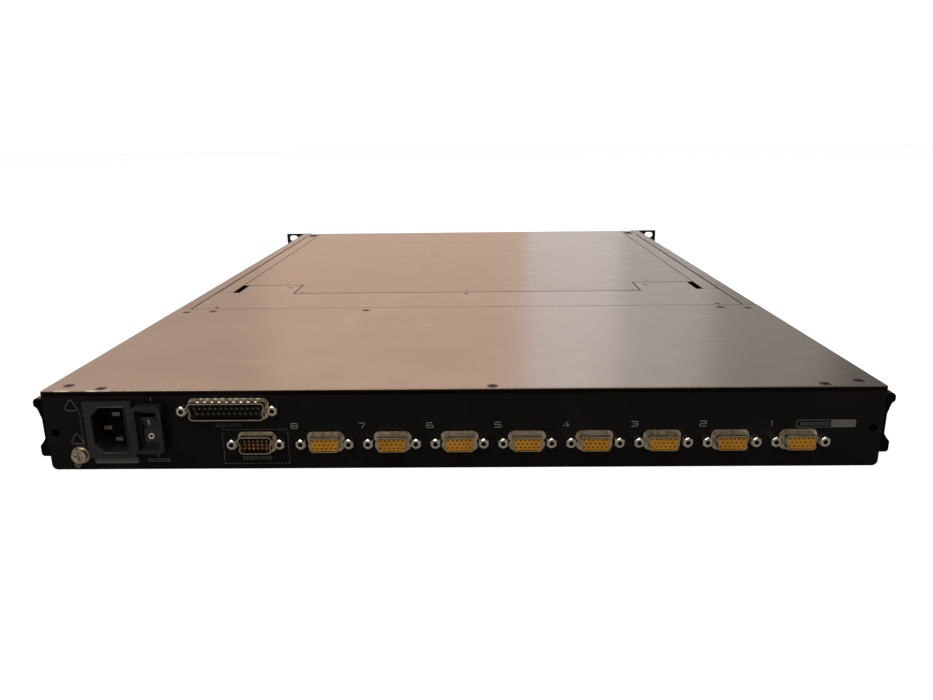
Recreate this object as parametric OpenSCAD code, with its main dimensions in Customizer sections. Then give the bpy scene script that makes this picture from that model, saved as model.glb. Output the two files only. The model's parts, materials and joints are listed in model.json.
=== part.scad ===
// Rack console switch: a one-unit-high drawer that holds a folding screen, a keyboard and a
// touchpad, with an eight-port switch module fixed behind it.
//
// Sizes are millimetres. X runs across the rack, Y from front (-) to rear (+), Z up.
// Most places are given as v, the distance forward of the rear panel's outer face.

/* [Body] */
// Width over the top cover
body_w = 436; // [420:1:440]
// Height of the body, one rack unit less a clearance
body_h = 44; // [42:0.5:44]
// Rear panel to the front ends of the rails
body_d = 641; // [600:1:700]
// Depth of the fixed switch module behind the drawer
module_d = 192; // [185:1:215]
// Thickness of the folded steel sheet
sheet = 1.2; // [0.8:0.1:1.6]

/* [Rails] */
// Width of the top strip on each rail
strip_w = 9.6; // [8:0.2:12]
// How far the outer beads stand out of the side wall
bead_w = 5.5; // [4:0.5:7]
// Gap between the rail strip and the drawer
drawer_gap = 1.4; // [0.8:0.1:2]
// Travel of the drawer, which the cable arm and the slides follow
drawer_travel = 400; // [300:5:400]
// Angle that each link of the cable arm turns through as the drawer opens
arm_open = 34.85; // [30:0.05:40]
// Height of the outer slide member
slide_h = 30; // [24:1:30]
// Diameter of the balls in the slides
ball_d = 2.9; // [2:0.1:3]

/* [Rack ears] */
// How far each ear stands out beside the body
ear_reach = 23.3; // [22:0.1:25]
// Centre of an ear's slots, in from its outer edge
ear_hole_edge = 8.75; // [8:0.05:10]
// Hole-to-hole distance up the rack
ear_hole_z = 31.75; // [28:0.25:32]
// Width of an ear's slots
ear_slot_w = 6.8; // [5:0.1:7]
// Length of an ear's slots
ear_slot_l = 10.4; // [8:0.2:12]
// Thickness of an ear
ear_t = 2; // [1.5:0.1:3]

/* [Drawer and screen] */
// Width of each side trim of the drawer
trim_w = 12; // [10:0.5:14]
// Gap round the screen lid
lid_gap = 1; // [0.6:0.1:1.5]
// Thickness of the closed lid
lid_t = 13; // [12:0.5:14]
// Depth of the fixed deck behind the lid
deck_d = 54.4; // [50:0.2:60]
// Length of the two deck tongues beside the hinges
tongue_l = 36; // [30:1:40]
// Inner edge of a tongue, from the middle
tongue_in = 143; // [130:1:150]
// Outer edge of a tongue, from the middle
tongue_out = 189; // [180:1:190]
// Visible width of the screen
screen_w = 338; // [300:1:340]
// Visible height of the screen
screen_h = 270; // [240:1:280]
// Diameter of the hinge shafts
hinge_shaft_d = 5; // [4:0.5:5]
// Depth of the hinge axis below the top
hinge_drop = 6; // [6:0.1:7]

/* [Keyboard] */
// Key pitch
key_pitch = 18.6; // [17:0.1:19]
// Gap between neighbouring keycaps
key_gap = 2.4; // [2:0.1:4]
// Height of a keycap
key_h = 8; // [6:0.5:8]
// Travel of a key
key_travel = 2.5; // [1.5:0.1:3]

/* [Ports] */
// Number of computer ports
port_count = 8; // [4:1:8]
// Distance between port centres
port_pitch = 35.1; // [34:0.1:38]
// Centre of the first port, in from the panel's left end
port_1_edge = 43.2; // [40:0.1:50]
// Height of the port row
port_z = 15.4; // [14:0.1:17]
// Distance between the jack screws of a small port
jack_span = 24.99; // [24:0.01:26]
// Distance between the jack screws of the chain port
chain_jack_span = 47.04; // [46:0.01:48]
// Centre of the chain port, in from the panel's right end
chain_edge = 97.7; // [95:0.1:100]
// Height of the chain port
chain_z = 34; // [33:0.1:34]
// Centre of the second console port, in from the panel's right end
console_edge = 111.1; // [108:0.1:114]
// Radius of the thread in a jack screw
jack_thread_r = 1.25; // [1:0.05:1.4]

/* [Power entry] */
// Centre of the mains inlet, in from the panel's right end
inlet_edge = 34.7; // [34:0.1:36]
// Height of the mains inlet
inlet_z = 23.2; // [21:0.1:24]
// Centre of the power switch, in from the panel's right end
switch_edge = 55.7; // [54:0.1:56]
// Swing of the rocker from off to on
rocker_swing = 14; // [8:1:16]

/* [Hidden] */
$fn = 48;

// Clearances
hair = 0.2;             // beside a part that only sits in its cut-out
slip = 0.3;             // beside a part that slides
run = 0.05;             // radial, round a pin or a ball
stud_clear = 0.35;      // radial, round the stud of a jack screw
seam = 0.6;             // between two sheets that meet

// Levels
top_z = body_h;
under_z = top_z - sheet;            // underside of every top sheet
drawer_z = 6;                       // underside of the drawer
drawer_floor = drawer_z + sheet;
lid_z = top_z - lid_t;              // underside of the closed lid
lid_to_keys = 2.5;
key_sink = 3.5;                     // how far a keycap starts below the keyboard frame's top
frame_z = lid_z - lid_to_keys - key_h + key_sink;
frame_t = 2;
bezel_t = 2;
board_t = 1.6;
board_z = 8;                        // underside of the rear boards
board_top = board_z + board_t;

// Places across
half_w = body_w / 2;
web_in = half_w - sheet;            // inner face of a rail's web
strip_in = half_w - strip_w;
drawer_half = strip_in - drawer_gap;
lid_half = drawer_half - trim_w - lid_gap;
tongue_edge = min(tongue_out, lid_half - 5);

// Places along
deck_v0 = module_d + seam;
deck_v1 = deck_v0 + deck_d;         // rear edge of the lid's middle, less its gap
tongue_v = deck_v1 + tongue_l;
trim_v0 = deck_v1 + 6;
lid_v0 = deck_v1 + lid_gap + 0.5;
lid_shoulder = tongue_v + lid_gap + 0.5;
lid_v1 = body_d - 5;
drawer_v0 = deck_v0 + 4.4;          // outer face of the drawer's back wall
drawer_v1 = body_d - 5;
bulkhead_v = module_d - 27;         // front face of the wall behind the cable arm
hinge_v = deck_v1 + 10.5;
hinge_z = top_z - hinge_drop;

// The drawer's front and handle
front_v0 = body_d + 0.8;
front_t = 8;
front_half = half_w - 2;
front_z0 = 3;
front_z1 = frame_z + 2;
handle_r = 5;
handle_half = 80;
handle_v = front_v0 + front_t + 27;
handle_z = 17;

// Rear protrusion of the ports, and the row frame
shell_out = 6;
front_reach = handle_v + handle_r;
rear_y = (front_reach - shell_out) / 2;

// Ports: [width, height] of each D-shaped opening
small_female = [16.33, 7.9];
small_male = [16.92, 8.36];
chain_male = [38.96, 8.36];
shell_wall = 0.5;
collar_out = 0.6;
flange_t = 0.8;
d_slope = 10;                       // degrees that a D port's sides lean in
contact_pitch = 2.29;
contact_rows = 1.98;
chain_pitch = 2.77;
chain_rows = 2.84;
jack_hex = 5;                       // across flats
jack_len = 5.2;
jack_chamfer = 0.6;
jack_face_in = 0.25;                // how far the chamfer cuts inside the flats
jack_hole_depth = 4.6;
stud_r = 1.35;
port_xs = [for (k = [0:port_count - 1]) -half_w + port_1_edge + k * port_pitch];
chain_x = half_w - chain_edge;
console_x = half_w - console_edge;
inlet_x = half_w - inlet_edge;
switch_x = half_w - switch_edge;

// Cable arm: two equal links that unfold as the drawer comes out
arm_x = 22 - drawer_half;           // both end pivots
arm_l = drawer_travel / (2 * sin(arm_open));
arm_v = bulkhead_v + 16;
arm_w = 14;
arm_h = 10;
arm_rear_z = 10;
arm_front_z = arm_rear_z + arm_h + 1.6;
arm_pin_r = 2.5;
arm_lost_motion = 8;                // slot either side of the front pin

// Slides
slide_v0 = drawer_v0 + 3;
slide_v1 = body_d - 9;
slide_middle_l = slide_v1 - slide_v0 - 14;
slide_z = 24;                       // mid height of the slides
slide_sheet = 1.2;

// Keyboard
main_units = 15;
pad_units = 4;
pad_offset = 15.35;                 // units from the left edge to the number pad
kb_w = (pad_offset + pad_units) * key_pitch;
kb_x0 = -kb_w / 2;
kb_v0 = hinge_v + 100;
kb_rows = 6;
key_bottom = frame_z - key_sink;
key_lean = 1.6;                     // how far a keycap's sides lean in at the top
stem_r = 2;
kb_floor = key_bottom - key_travel - 1;
kb_floor_t = 1.6;

// Touchpad
pad_w = 80;
pad_d = 50;
pad_v0 = kb_v0 + kb_rows * key_pitch + 26;
pad_button_d = 13;

// Port selection strip
strip_v = hinge_v + 54;
strip_x0 = kb_x0 + 12;
strip_pitch = 17;
button_w = 11;
button_d = 7;

// Lid controls
control_x0 = 112;
control_pitch = 15;
control_count = 5;
control_v = lid_shoulder + 8.5;
control_w = 9;
control_d = 5;

screen_v = lid_v1 - 48 - screen_h / 2;

// ---------------------------------------------------------------- helpers

// Y of a point v forward of the rear panel.
function yv(v) = rear_y - v;

// Box from ranges of X, v and Z.
module slab(x, v, z) {
    translate([x[0], yv(v[1]), z[0]]) cube([x[1] - x[0], v[1] - v[0], z[1] - z[0]]);
}

// Upright cylinder standing on z.
module post(x, v, z, r, h) {
    translate([x, yv(v), z]) cylinder(r = r, h = h);
}

// Cylinder along Y from v0 forward to v1.
module rod_v(x, z, v0, v1, r) {
    translate([x, yv(v0), z]) rotate([90, 0, 0]) cylinder(r = r, h = v1 - v0);
}

// Cylinder along X.
module rod_x(x0, x1, v, z, r) {
    translate([x0, yv(v), z]) rotate([0, 90, 0]) cylinder(r = r, h = x1 - x0);
}

// Plate from an outline drawn in X and v.
module plan(z0, z1) {
    translate([0, rear_y, z0]) mirror([0, 1, 0]) linear_extrude(z1 - z0) children();
}

// Extrusion along Y of an outline drawn in X and Z.
module along(v0, v1) {
    translate([0, yv(v0), 0]) rotate([90, 0, 0]) linear_extrude(v1 - v0) children();
}

// The children on one side: 1 is the right as the user sees it, -1 the left.
module side(s) {
    mirror([s < 0 ? 1 : 0, 0, 0]) children();
}

module both_sides() {
    for (s = [-1, 1]) side(s) children();
}

// Rectangle with round corners, centred.
module round_rect(w, h, r) {
    square([w - 2 * r, h], center = true);
    square([w, h - 2 * r], center = true);
    for (x = [-1, 1], y = [-1, 1]) translate([x * (w / 2 - r), y * (h / 2 - r)]) circle(r);
}

// D-shaped outline with its long side up, centred; grow widens it all round.
module d_outline(size, grow = 0) {
    w = size[0] / 2 + grow;
    h = size[1] / 2 + grow;
    lean = 2 * h * tan(d_slope);
    r = 1.6 + grow;
    c = r / tan(45 + d_slope / 2);
    k = r * tan(45 + d_slope / 2);
    // Round corners are circles that touch both edges; the flats join them.
    union() {
        polygon([[-w + k, h], [w - k, h], [w - c * sin(d_slope), h - r],
            [w - lean + r * 0.05, -h + r], [w - lean - c * 0.6, -h], [-w + lean + c * 0.6, -h],
            [-w + lean - r * 0.05, -h + r], [-w + c * sin(d_slope), h - r]]);
        for (s = [-1, 1]) {
            translate([s * (w - r), h - r]) circle(r);
            translate([s * (w - lean - c * 0.6), -h + r]) circle(r);
        }
    }
}

// Countersunk screw, its head flush at z, with a cross recess.
screw_head_t = 1;
recess_d = 0.6;
recess_w = 0.7;
module flat_screw(x, v, z, r, length) {
    translate([x, yv(v), z]) difference() {
        union() {
            translate([0, 0, -screw_head_t]) cylinder(r = r, h = screw_head_t);
            translate([0, 0, -length]) cylinder(r = r * 0.5, h = length - screw_head_t + 0.01);
        }
        for (a = [45, 135]) rotate([0, 0, a]) translate([-r * 0.7, -recess_w / 2, -recess_d])
            cube([r * 1.4, recess_w, recess_d + 1]);
    }
}

// Seat of a countersunk screw through a top sheet.
module screw_seat(x, v, r) {
    post(x, v, top_z - screw_head_t, r + run, screw_head_t + 1);
    post(x, v, under_z - 3, r * 0.5 + run, 4);
}

// ---------------------------------------------------------------- fastener places

cover_screw_r = 2.9;
cover_screw_rear_v = 4.2;
cover_screw_xv = [
    for (s = [-1, 1]) [s * (half_w - 10.6), cover_screw_rear_v + 5],
    for (s = [-1, 1]) [s * (half_w - 30), cover_screw_rear_v],
    [-16.6, cover_screw_rear_v],
    for (s = [-1, 1]) [s * (half_w - 10.6), module_d - 10.5],
    for (s = [-1, 1]) [s * (half_w - 29.7), module_d - 8],
    [73.8, module_d - 8.7],
];
deck_screw_r = 1.9;
deck_screw_xv = [
    for (s = [-1, 1]) [s * (drawer_half - 17.6), deck_v0 + 3.4],
    for (s = [-1, 1]) [s * (tongue_in + 8), tongue_v - 11],
    [0, deck_v1 - 6.5],
];
lid_screw_xv = [
    for (s = [-1, 1]) [s * (tongue_in + 14), lid_shoulder + 6],
    for (s = [-1, 1]) [s * (tongue_in - 6), lid_v0 + 4.2],
    [0, lid_v0 + 4.2],
];
lid_screw_l = 5;

// ---------------------------------------------------------------- switch module

bottom_corner_r = 3;
flange_w = 16;
vent_count = 18;
vent_pitch = 11;
vent_w = 5;
vent_x0 = -165;

module d_cut(x, z, size) {
    translate([x, yv(-1), z]) rotate([90, 0, 0]) linear_extrude(4) d_outline(size, 1.6 + hair);
}

module jack_holes(x, z, span) {
    for (s = [-1, 1]) rod_v(x + s * span / 2, z, -1, 3, stud_r + stud_clear);
}

module panel_plate() {
    h = under_z - 1.6;
    along(0, sheet) translate([0, h / 2]) round_rect(body_w, h, bottom_corner_r);
    // The upper corners are square: the cover's lip sits on them.
    both_sides() slab([half_w - bottom_corner_r, half_w], [0, sheet], [h - bottom_corner_r, h]);
}

module rear_case() {
    color("#16161a") difference() {
        union() {
            panel_plate();
            slab([-web_in, web_in], [sheet, module_d], [0, sheet]);
            both_sides() {
                slab([web_in - sheet, web_in], [sheet, module_d], [0, under_z]);
                slab([web_in - flange_w, web_in - sheet], [sheet, module_d], [under_z - sheet, under_z]);
            }
            slab([-web_in + flange_w, web_in - flange_w], [sheet, 9], [under_z - sheet, under_z]);
            slab([-web_in + flange_w, web_in - flange_w], [sheet, sheet + 1], [under_z - 3,
                under_z - sheet]);
        }
        for (x = port_xs) {
            d_cut(x, port_z, small_female);
            jack_holes(x, port_z, jack_span);
        }
        d_cut(console_x, port_z, small_male);
        jack_holes(console_x, port_z, jack_span);
        d_cut(chain_x, chain_z, chain_male);
        jack_holes(chain_x, chain_z, chain_jack_span);
        slab([inlet_x - inlet_body_w / 2 - hair, inlet_x + inlet_body_w / 2 + hair], [-1, 3],
            [inlet_z - inlet_body_h / 2 - hair, inlet_z + inlet_body_h / 2 + hair]);
        slab([switch_x - well_w / 2 - 1 - hair, switch_x + well_w / 2 + 1 + hair], [-1, 3],
            [switch_z - well_h / 2 - 1 - hair, switch_z + well_h / 2 + 1 + hair]);
        rod_v(ground_x, ground_z, -1, 3, ground_shank_r + run);
        both_sides() rod_v(half_w - 4.7, 21, -1, 3, bracket_hole_r);
        for (p = cover_screw_xv) post(p[0], p[1], under_z - 4, cover_screw_r * 0.5 + run, 5);
        for (k = [0:vent_count - 1]) slab([vent_x0 + k * vent_pitch, vent_x0 + k * vent_pitch + vent_w],
            [bulkhead_v - 45, bulkhead_v - 8], [-1, sheet + 1]);
    }
}
bracket_hole_r = 2.1;

grommet_x = arm_x + 52;
grommet_w = 26;
grommet_h = 12;
module bulkhead() {
    color("#1c1c20") difference() {
        union() {
            slab([-web_in + sheet, web_in - sheet], [bulkhead_v - sheet, bulkhead_v], [sheet,
                under_z - sheet]);
            slab([-web_in + flange_w, web_in - flange_w], [bulkhead_v - sheet, module_d - 2],
                [under_z - sheet, under_z]);
        }
        slab([grommet_x - grommet_w / 2, grommet_x + grommet_w / 2], [bulkhead_v - 3, bulkhead_v + 1],
            [arm_rear_z, arm_rear_z + grommet_h]);
        for (p = cover_screw_xv) post(p[0], p[1], under_z - 4, cover_screw_r * 0.5 + run, 5);
    }
}

// Shelf and pin on the bulkhead that carry the rear end of the cable arm
shelf_half = 12;
shelf_t = 1.8;
shelf_top = arm_rear_z - 0.4;
module arm_shelf() {
    color("#1c1c20") {
        slab([arm_x - shelf_half, arm_x + shelf_half], [bulkhead_v, arm_v + 9], [shelf_top - shelf_t,
            shelf_top]);
        post(arm_x, arm_v, arm_rear_z - 1, arm_pin_r, arm_h + 1);
    }
}

module rear_cover() {
    color("#8d7768") difference() {
        union() {
            slab([-half_w, half_w], [0, module_d], [under_z, top_z]);
            slab([-half_w, half_w], [0, sheet], [under_z - 1.4, under_z]);
        }
        for (p = cover_screw_xv) screw_seat(p[0], p[1], cover_screw_r);
    }
}

module cover_screws() {
    color("#2a2624") for (p = cover_screw_xv) flat_screw(p[0], p[1], top_z, cover_screw_r, 5);
}

// ---------------------------------------------------------------- rails, ears and slides

rail_v0 = sheet;
rail_z0 = 4;
bead_top = 39.6;
bead_bottom = 7;
groove_z0 = 17.5;
groove_z1 = 27.7;
groove_out = half_w + 2.2;          // outer face of the groove between the beads

module rail_profile() {
    b = half_w + bead_w;
    polygon([[web_in, rail_z0], [half_w, rail_z0], [half_w, bead_bottom], [b - 1.2, bead_bottom],
        [b, bead_bottom + 1.2], [b, 13], [b - 1.7, 15], [groove_out, groove_z0], [groove_out, groove_z1],
        [b - 1.5, 34], [b, 35.2], [b, bead_top - 1.3], [b - 1.3, bead_top], [half_w, bead_top],
        [half_w, under_z], [web_in, under_z]]);
}

module outer_rail(s) {
    color("#7d6b60") side(s) difference() {
        union() {
            along(rail_v0, body_d) rail_profile();
            slab([strip_in, half_w], [deck_v0, body_d], [under_z, top_z]);
            slab([strip_in, web_in], [deck_v0, body_d], [rail_z0, rail_z0 + sheet]);
        }
        for (v = ear_screw_vs) rod_x(web_in - 1, groove_out + 1, v, ear_screw_z, ear_screw_r + run);
    }
}

ear_leg_l = 46;
ear_screw_vs = [body_d - 36, body_d - 14];
ear_screw_r = 1.5;
ear_screw_z = (groove_z0 + groove_z1) / 2;
ear_plate_z = [0, body_h - 0.4];
ear_span = body_w + 2 * ear_reach;
ear_hole_x = ear_span - 2 * ear_hole_edge;

module ear_slot(x, z) {
    for (e = [-1, 1]) rod_v(x + e * (ear_slot_l - ear_slot_w) / 2, z, body_d - 2, body_d + ear_t + 2,
        ear_slot_w / 2);
    slab([x - (ear_slot_l - ear_slot_w) / 2, x + (ear_slot_l - ear_slot_w) / 2],
        [body_d - 2, body_d + ear_t + 2], [z - ear_slot_w / 2, z + ear_slot_w / 2]);
}

module rack_ear(s) {
    color("#17171a") side(s) difference() {
        union() {
            slab([groove_out, groove_out + 1.6], [body_d - ear_leg_l, body_d + ear_t],
                [groove_z0 + slip, groove_z1 - slip]);
            slab([half_w + 0.4, ear_span / 2], [body_d, body_d + ear_t], ear_plate_z);
        }
        for (z = [-1, 1]) ear_slot(ear_hole_x / 2, body_h / 2 + z * ear_hole_z / 2);
        for (v = ear_screw_vs) rod_x(groove_out - 1, groove_out + 3, v, ear_screw_z, ear_screw_r + run);
    }
}

module ear_screws() {
    color("#8a8a8a") both_sides() for (v = ear_screw_vs) {
        rod_x(groove_out + 1.6, groove_out + 2.9, v, ear_screw_z, 2.9);
        rod_x(web_in + 0.2, groove_out + 1.61, v, ear_screw_z, ear_screw_r);
    }
}

// Slide levels: each member nests in the next with a row of balls above and below.
outer_top = slide_z + slide_h / 2;
middle_top = outer_top - slide_sheet - ball_d - 2 * run;
inner_top = middle_top - slide_sheet - ball_d - 2 * run;

// C-shaped section, its web on the side of x_web, its flanges reaching x_open.
module c_section(x_web, x_open, top) {
    d = x_open > x_web ? 1 : -1;
    for (m = [0, 1]) translate([0, slide_z]) mirror([0, m]) {
        translate([min(x_web, x_open), top - slide_z - slide_sheet]) square([abs(x_open - x_web),
            slide_sheet]);
        translate([min(x_web, x_web + d * slide_sheet), 0]) square([slide_sheet, top - slide_z]);
    }
}

middle_web = web_in - slide_sheet - 0.6;
slide_screw_r = 1.5;
slide_head_r = 2.4;
slide_screw_z = frame_z + slide_head_r + slip;
slide_screw_vs = [slide_v0 + 20, (slide_v0 + slide_v1) / 2, slide_v1 - 20];
module slide_outer(s) {
    color("silver") side(s) along(slide_v0 - 2, slide_v1 + 4) c_section(web_in, web_in - 6.8, outer_top);
}

module slide_middle_members() {
    color("gainsboro") both_sides() along(slide_v0, slide_v0 + slide_middle_l)
        c_section(middle_web, middle_web - 5.8, middle_top);
}

module slide_inner(s) {
    color("silver") side(s) difference() {
        along(slide_v0, slide_v1) c_section(drawer_half, drawer_half + 5.4, inner_top);
        for (v = slide_screw_vs) rod_x(drawer_half - 1, drawer_half + 3, v, slide_screw_z,
            slide_screw_r + run);
    }
}

ball_count = 9;
ball_step = 14;
outer_ball_x = middle_web - 2.8;
inner_ball_x = drawer_half + 3.6;
module slide_balls() {
    color("whitesmoke") both_sides() for (m = [-1, 1], k = [0:ball_count - 1]) {
        translate([outer_ball_x, yv(slide_v0 + 12 + k * ball_step),
            slide_z + m * (middle_top - slide_z + run + ball_d / 2)]) sphere(d = ball_d);
        translate([inner_ball_x, yv(slide_v0 + slide_middle_l - 12 - k * ball_step),
            slide_z + m * (inner_top - slide_z + run + ball_d / 2)]) sphere(d = ball_d);
    }
}

// ---------------------------------------------------------------- boards and ports

board_x0 = 13 - half_w;
board_x1 = chain_x + 27.7;
board_v1 = bulkhead_v - 12;
standoff_xv = [for (x = [board_x0 + 6, -70, 60, board_x1 - 6], v = [26, board_v1 - 6]) [x, v]];
psu_x0 = board_x1 + 4;
psu_x1 = web_in - sheet - 4;
psu_v0 = 44;
psu_v1 = board_v1;
psu_standoff_xv = [for (x = [psu_x0 + 4, psu_x1 - 4], v = [psu_v0 + 4, psu_v1 - 4]) [x, v]];
standoff_r = 2.6;
board_screw_r = 2.4;

module board_standoffs() {
    color("#c9c6bd") for (p = concat(standoff_xv, psu_standoff_xv)) {
        translate([p[0], yv(p[1]), sheet]) cylinder(r = standoff_r, h = board_z - sheet, $fn = 6);
        post(p[0], p[1], board_top, board_screw_r, 1.4);
        post(p[0], p[1], board_z, 1.2, board_t);
    }
}

module switch_board() {
    color("#1f6b3c") difference() {
        slab([board_x0, board_x1], [4, board_v1], [board_z, board_top]);
        for (p = standoff_xv) post(p[0], p[1], board_z - 1, 1.2 + run, board_t + 2);
    }
}

// Chips: [x, v, width, depth, height]
chips = concat(
    [for (x = port_xs) [x, 34, 12, 9, 1.4]],
    [for (x = port_xs) [x, 52, 8, 8, 1.4]],
    [[-120, 96, 28, 28, 2.2], [-20, 92, 24, 24, 2.2], [62, 100, 20, 14, 1.8], [20, 122, 14, 20, 1.8],
        [-70, 120, 18, 10, 1.8], [100, 122, 16, 16, 2]]);
header_w = 40;
module board_chips() {
    color("#26262a") {
        for (c = chips) slab([c[0] - c[2] / 2, c[0] + c[2] / 2], [c[1] - c[3] / 2, c[1] + c[3] / 2],
            [board_top, board_top + c[4]]);
        for (x = [-180, -172, -164, 88, 130]) post(x, 84, board_top, 3.2, 11);
        // Header that the cable to the drawer plugs into
        slab([grommet_x - 18, grommet_x + 18], [board_v1 - 13, board_v1 - 5], [board_top, board_top + 8]);
        // Header that carries the chain board
        slab([chain_x - header_w / 2, chain_x + header_w / 2], [46, 51], [board_top, chain_board_z]);
    }
}

chain_board_z = chain_z - 7;
module chain_board() {
    color("#1f6b3c") slab([chain_x - 27, chain_x + 27], [4, 56], [chain_board_z, chain_board_z + board_t]);
}

// Metal shell of a D port: flange behind the panel, collar through it, tube, and a can on the board.
module port_shell(x, z, size, span, foot_z, outer) {
    tube = outer ? shell_wall : 0;
    flange_w2 = span + 6;
    can_w = size[0] + 4;
    can_v = 13;
    translate([x, 0, z]) difference() {
        union() {
            along(-shell_out, sheet) d_outline(size, tube);
            along(-collar_out, sheet) d_outline(size, 1.6);
            along(sheet, sheet + flange_t) square([flange_w2, 11.4], center = true);
            translate([0, yv(can_v), foot_z - z]) translate([-can_w / 2, 0, 0])
                cube([can_w, can_v - sheet - flange_t, 5.2 - foot_z + z]);
        }
        along(-shell_out - 1, can_v - 1) d_outline(size, tube - shell_wall);
        for (s = [-1, 1]) translate([s * span / 2, yv(0), 0]) rotate([90, 0, 0])
            cylinder(r = stud_r + stud_clear, h = 4);
    }
}

insert_front = shell_out - 0.5;
contact_depth = 4;
// Solid block with the contact holes of a female port.
module female_insert(x, z, size) {
    translate([x, 0, z]) difference() {
        along(-insert_front, 4) d_outline(size, -shell_wall - run);
        for (r = [-1, 0, 1], k = [0:(r == 0 ? 4 : 5)])
            translate([(k - (r == 0 ? 2 : 2.5)) * contact_pitch + 0.15, yv(-insert_front - 1),
                r * contact_rows])
                rotate([90, 0, 0]) cylinder(r = 0.5, h = contact_depth + 1, $fn = 16);
    }
}

// Recessed block with the pins of a male port.
pin_r = 0.5;
pin_front = 4.4;
module male_insert(x, z, size, rows, counts, pitch) {
    translate([x, 0, z]) {
        along(0.4, 4) d_outline(size, -run);
        for (r = [0:len(rows) - 1], k = [0:counts[r] - 1])
            translate([(k - (counts[r] - 1) / 2) * pitch, yv(0.5), rows[r]])
                rotate([-90, 0, 0]) cylinder(r = pin_r, h = 0.5 + pin_front, $fn = 16);
    }
}

module port_shells() {
    color("#b9b2a4") for (x = port_xs) port_shell(x, port_z, small_female, jack_span, board_top, false);
}
module port_inserts() {
    color("#d99a1e") for (x = port_xs) female_insert(x, port_z, small_female);
}
module console_port_shell() {
    color("#b9b2a4") port_shell(console_x, port_z, small_male, jack_span, board_top, true);
}
module console_port_insert() {
    color("#a05a14") male_insert(console_x, port_z, small_male, [contact_rows, 0, -contact_rows],
        [6, 6, 6], contact_pitch);
}
module chain_port_shell() {
    color("#b9b2a4") port_shell(chain_x, chain_z, chain_male, chain_jack_span,
        chain_board_z + board_t, true);
}
module chain_port_insert() {
    color("#101012") male_insert(chain_x, chain_z, chain_male, [chain_rows / 2, -chain_rows / 2],
        [13, 12], chain_pitch);
}

module jack_screw(x, z) {
    translate([x, 0, z]) difference() {
        union() {
            intersection() {
                translate([0, yv(0), 0]) rotate([-90, 0, 0]) rotate([0, 0, 30])
                    cylinder(r = jack_hex / sqrt(3), h = jack_len, $fn = 6);
                translate([0, yv(1), 0]) rotate([-90, 0, 0]) union() {
                    cylinder(r = jack_hex, h = 1 + jack_len - jack_chamfer);
                    translate([0, 0, 1 + jack_len - jack_chamfer])
                        cylinder(r1 = jack_hex / sqrt(3), r2 = jack_hex / 2 - jack_face_in, h = jack_chamfer);
                }
            }
            translate([0, yv(3.6), 0]) rotate([-90, 0, 0]) cylinder(r = stud_r, h = 3.7);
        }
        translate([0, yv(-jack_len + jack_hole_depth), 0]) rotate([-90, 0, 0])
            cylinder(r = jack_thread_r, h = jack_len);
    }
}
module jack_pair(x, z, span) {
    for (s = [-1, 1]) jack_screw(x + s * span / 2, z);
}
module jack_screws() {
    color("#c8c2b6") {
        for (x = port_xs) jack_pair(x, port_z, jack_span);
        jack_pair(console_x, port_z, jack_span);
        jack_pair(chain_x, chain_z, chain_jack_span);
    }
}

// ---------------------------------------------------------------- power entry

inlet_flange = [25.6, 31];
inlet_flange_t = 2.6;
inlet_body_w = 21;
inlet_body_h = 27.4;
inlet_mouth = [16.8, 24.4];
inlet_chamfer = 4.6;
inlet_depth = 16;
inlet_back = 21;
module mouth_outline() {
    w = inlet_mouth[0] / 2;
    h = inlet_mouth[1] / 2;
    polygon([[-w, -h], [w - inlet_chamfer, -h], [w, -h + inlet_chamfer], [w, h - inlet_chamfer],
        [w - inlet_chamfer, h], [-w, h]]);
}
module power_inlet() {
    color("#1b1c20") translate([inlet_x, 0, inlet_z]) difference() {
        union() {
            along(-inlet_flange_t, 0) square(inlet_flange, center = true);
            along(0, inlet_back) square([inlet_body_w, inlet_body_h], center = true);
        }
        along(-inlet_flange_t - 1, inlet_depth) mouth_outline();
        for (p = inlet_pin_xz) translate([p[0] - inlet_pin_size[0] / 2, yv(inlet_back + 1),
            p[1] - inlet_pin_size[1] / 2])
            cube([inlet_pin_size[0], inlet_back - inlet_depth + 2, inlet_pin_size[1]]);
    }
}
inlet_pin_size = [4, 2];
inlet_pin_xz = [[-2, 7], [-2, -7], [2.4, 0]];
inlet_pin_front = 2.9;
// The earth pin stands out further, so that it meets first
inlet_earth_lead = 1.5;
inlet_tab = 7;
module inlet_pins() {
    color("#c9c4b8") translate([inlet_x, 0, inlet_z]) for (p = inlet_pin_xz)
        translate([p[0] - inlet_pin_size[0] / 2, yv(inlet_back + inlet_tab), p[1] - inlet_pin_size[1] / 2])
            cube([inlet_pin_size[0], inlet_back + inlet_tab - inlet_pin_front
                + (p[1] == 0 ? inlet_earth_lead : 0), inlet_pin_size[1]]);
}

switch_z = 23.7;
guard_z = 23.9;
guard_w = 16;
guard_h = 26;
guard_out = 5.5;
guard_r = 3;
// Dish in the guard that the rocker lies at the bottom of
dish_w = 11;
dish_h = 21.6;
dish_floor = 1.6;
well_w = 8;
well_h = 17;
switch_back = 15;
rocker_pivot_v = 2.4;
rocker_pin_r = 1;
module power_switch_housing() {
    body_w2 = well_w + 2;
    body_h2 = well_h + 2;
    color("#17181b") translate([switch_x, 0, 0]) difference() {
        union() {
            translate([0, 0, guard_z]) along(-guard_out, 0) round_rect(guard_w, guard_h, guard_r);
            translate([0, 0, switch_z]) along(0, switch_back) square([body_w2, body_h2], center = true);
            for (x = [-2.5, 2.5])
                slab([x - 0.4, x + 0.4], [switch_back, switch_back + 8], [switch_z - 3, switch_z + 3]);
        }
        translate([0, 0, guard_z]) along(-guard_out - 1, -dish_floor) square([dish_w, dish_h], center = true);
        translate([0, 0, switch_z]) along(-guard_out - 1, switch_back - 3)
            square([well_w, well_h], center = true);
        rod_x(-well_w / 2 - 0.8, well_w / 2 + 0.8, rocker_pivot_v, switch_z, rocker_pin_r + run);
    }
}

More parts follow.
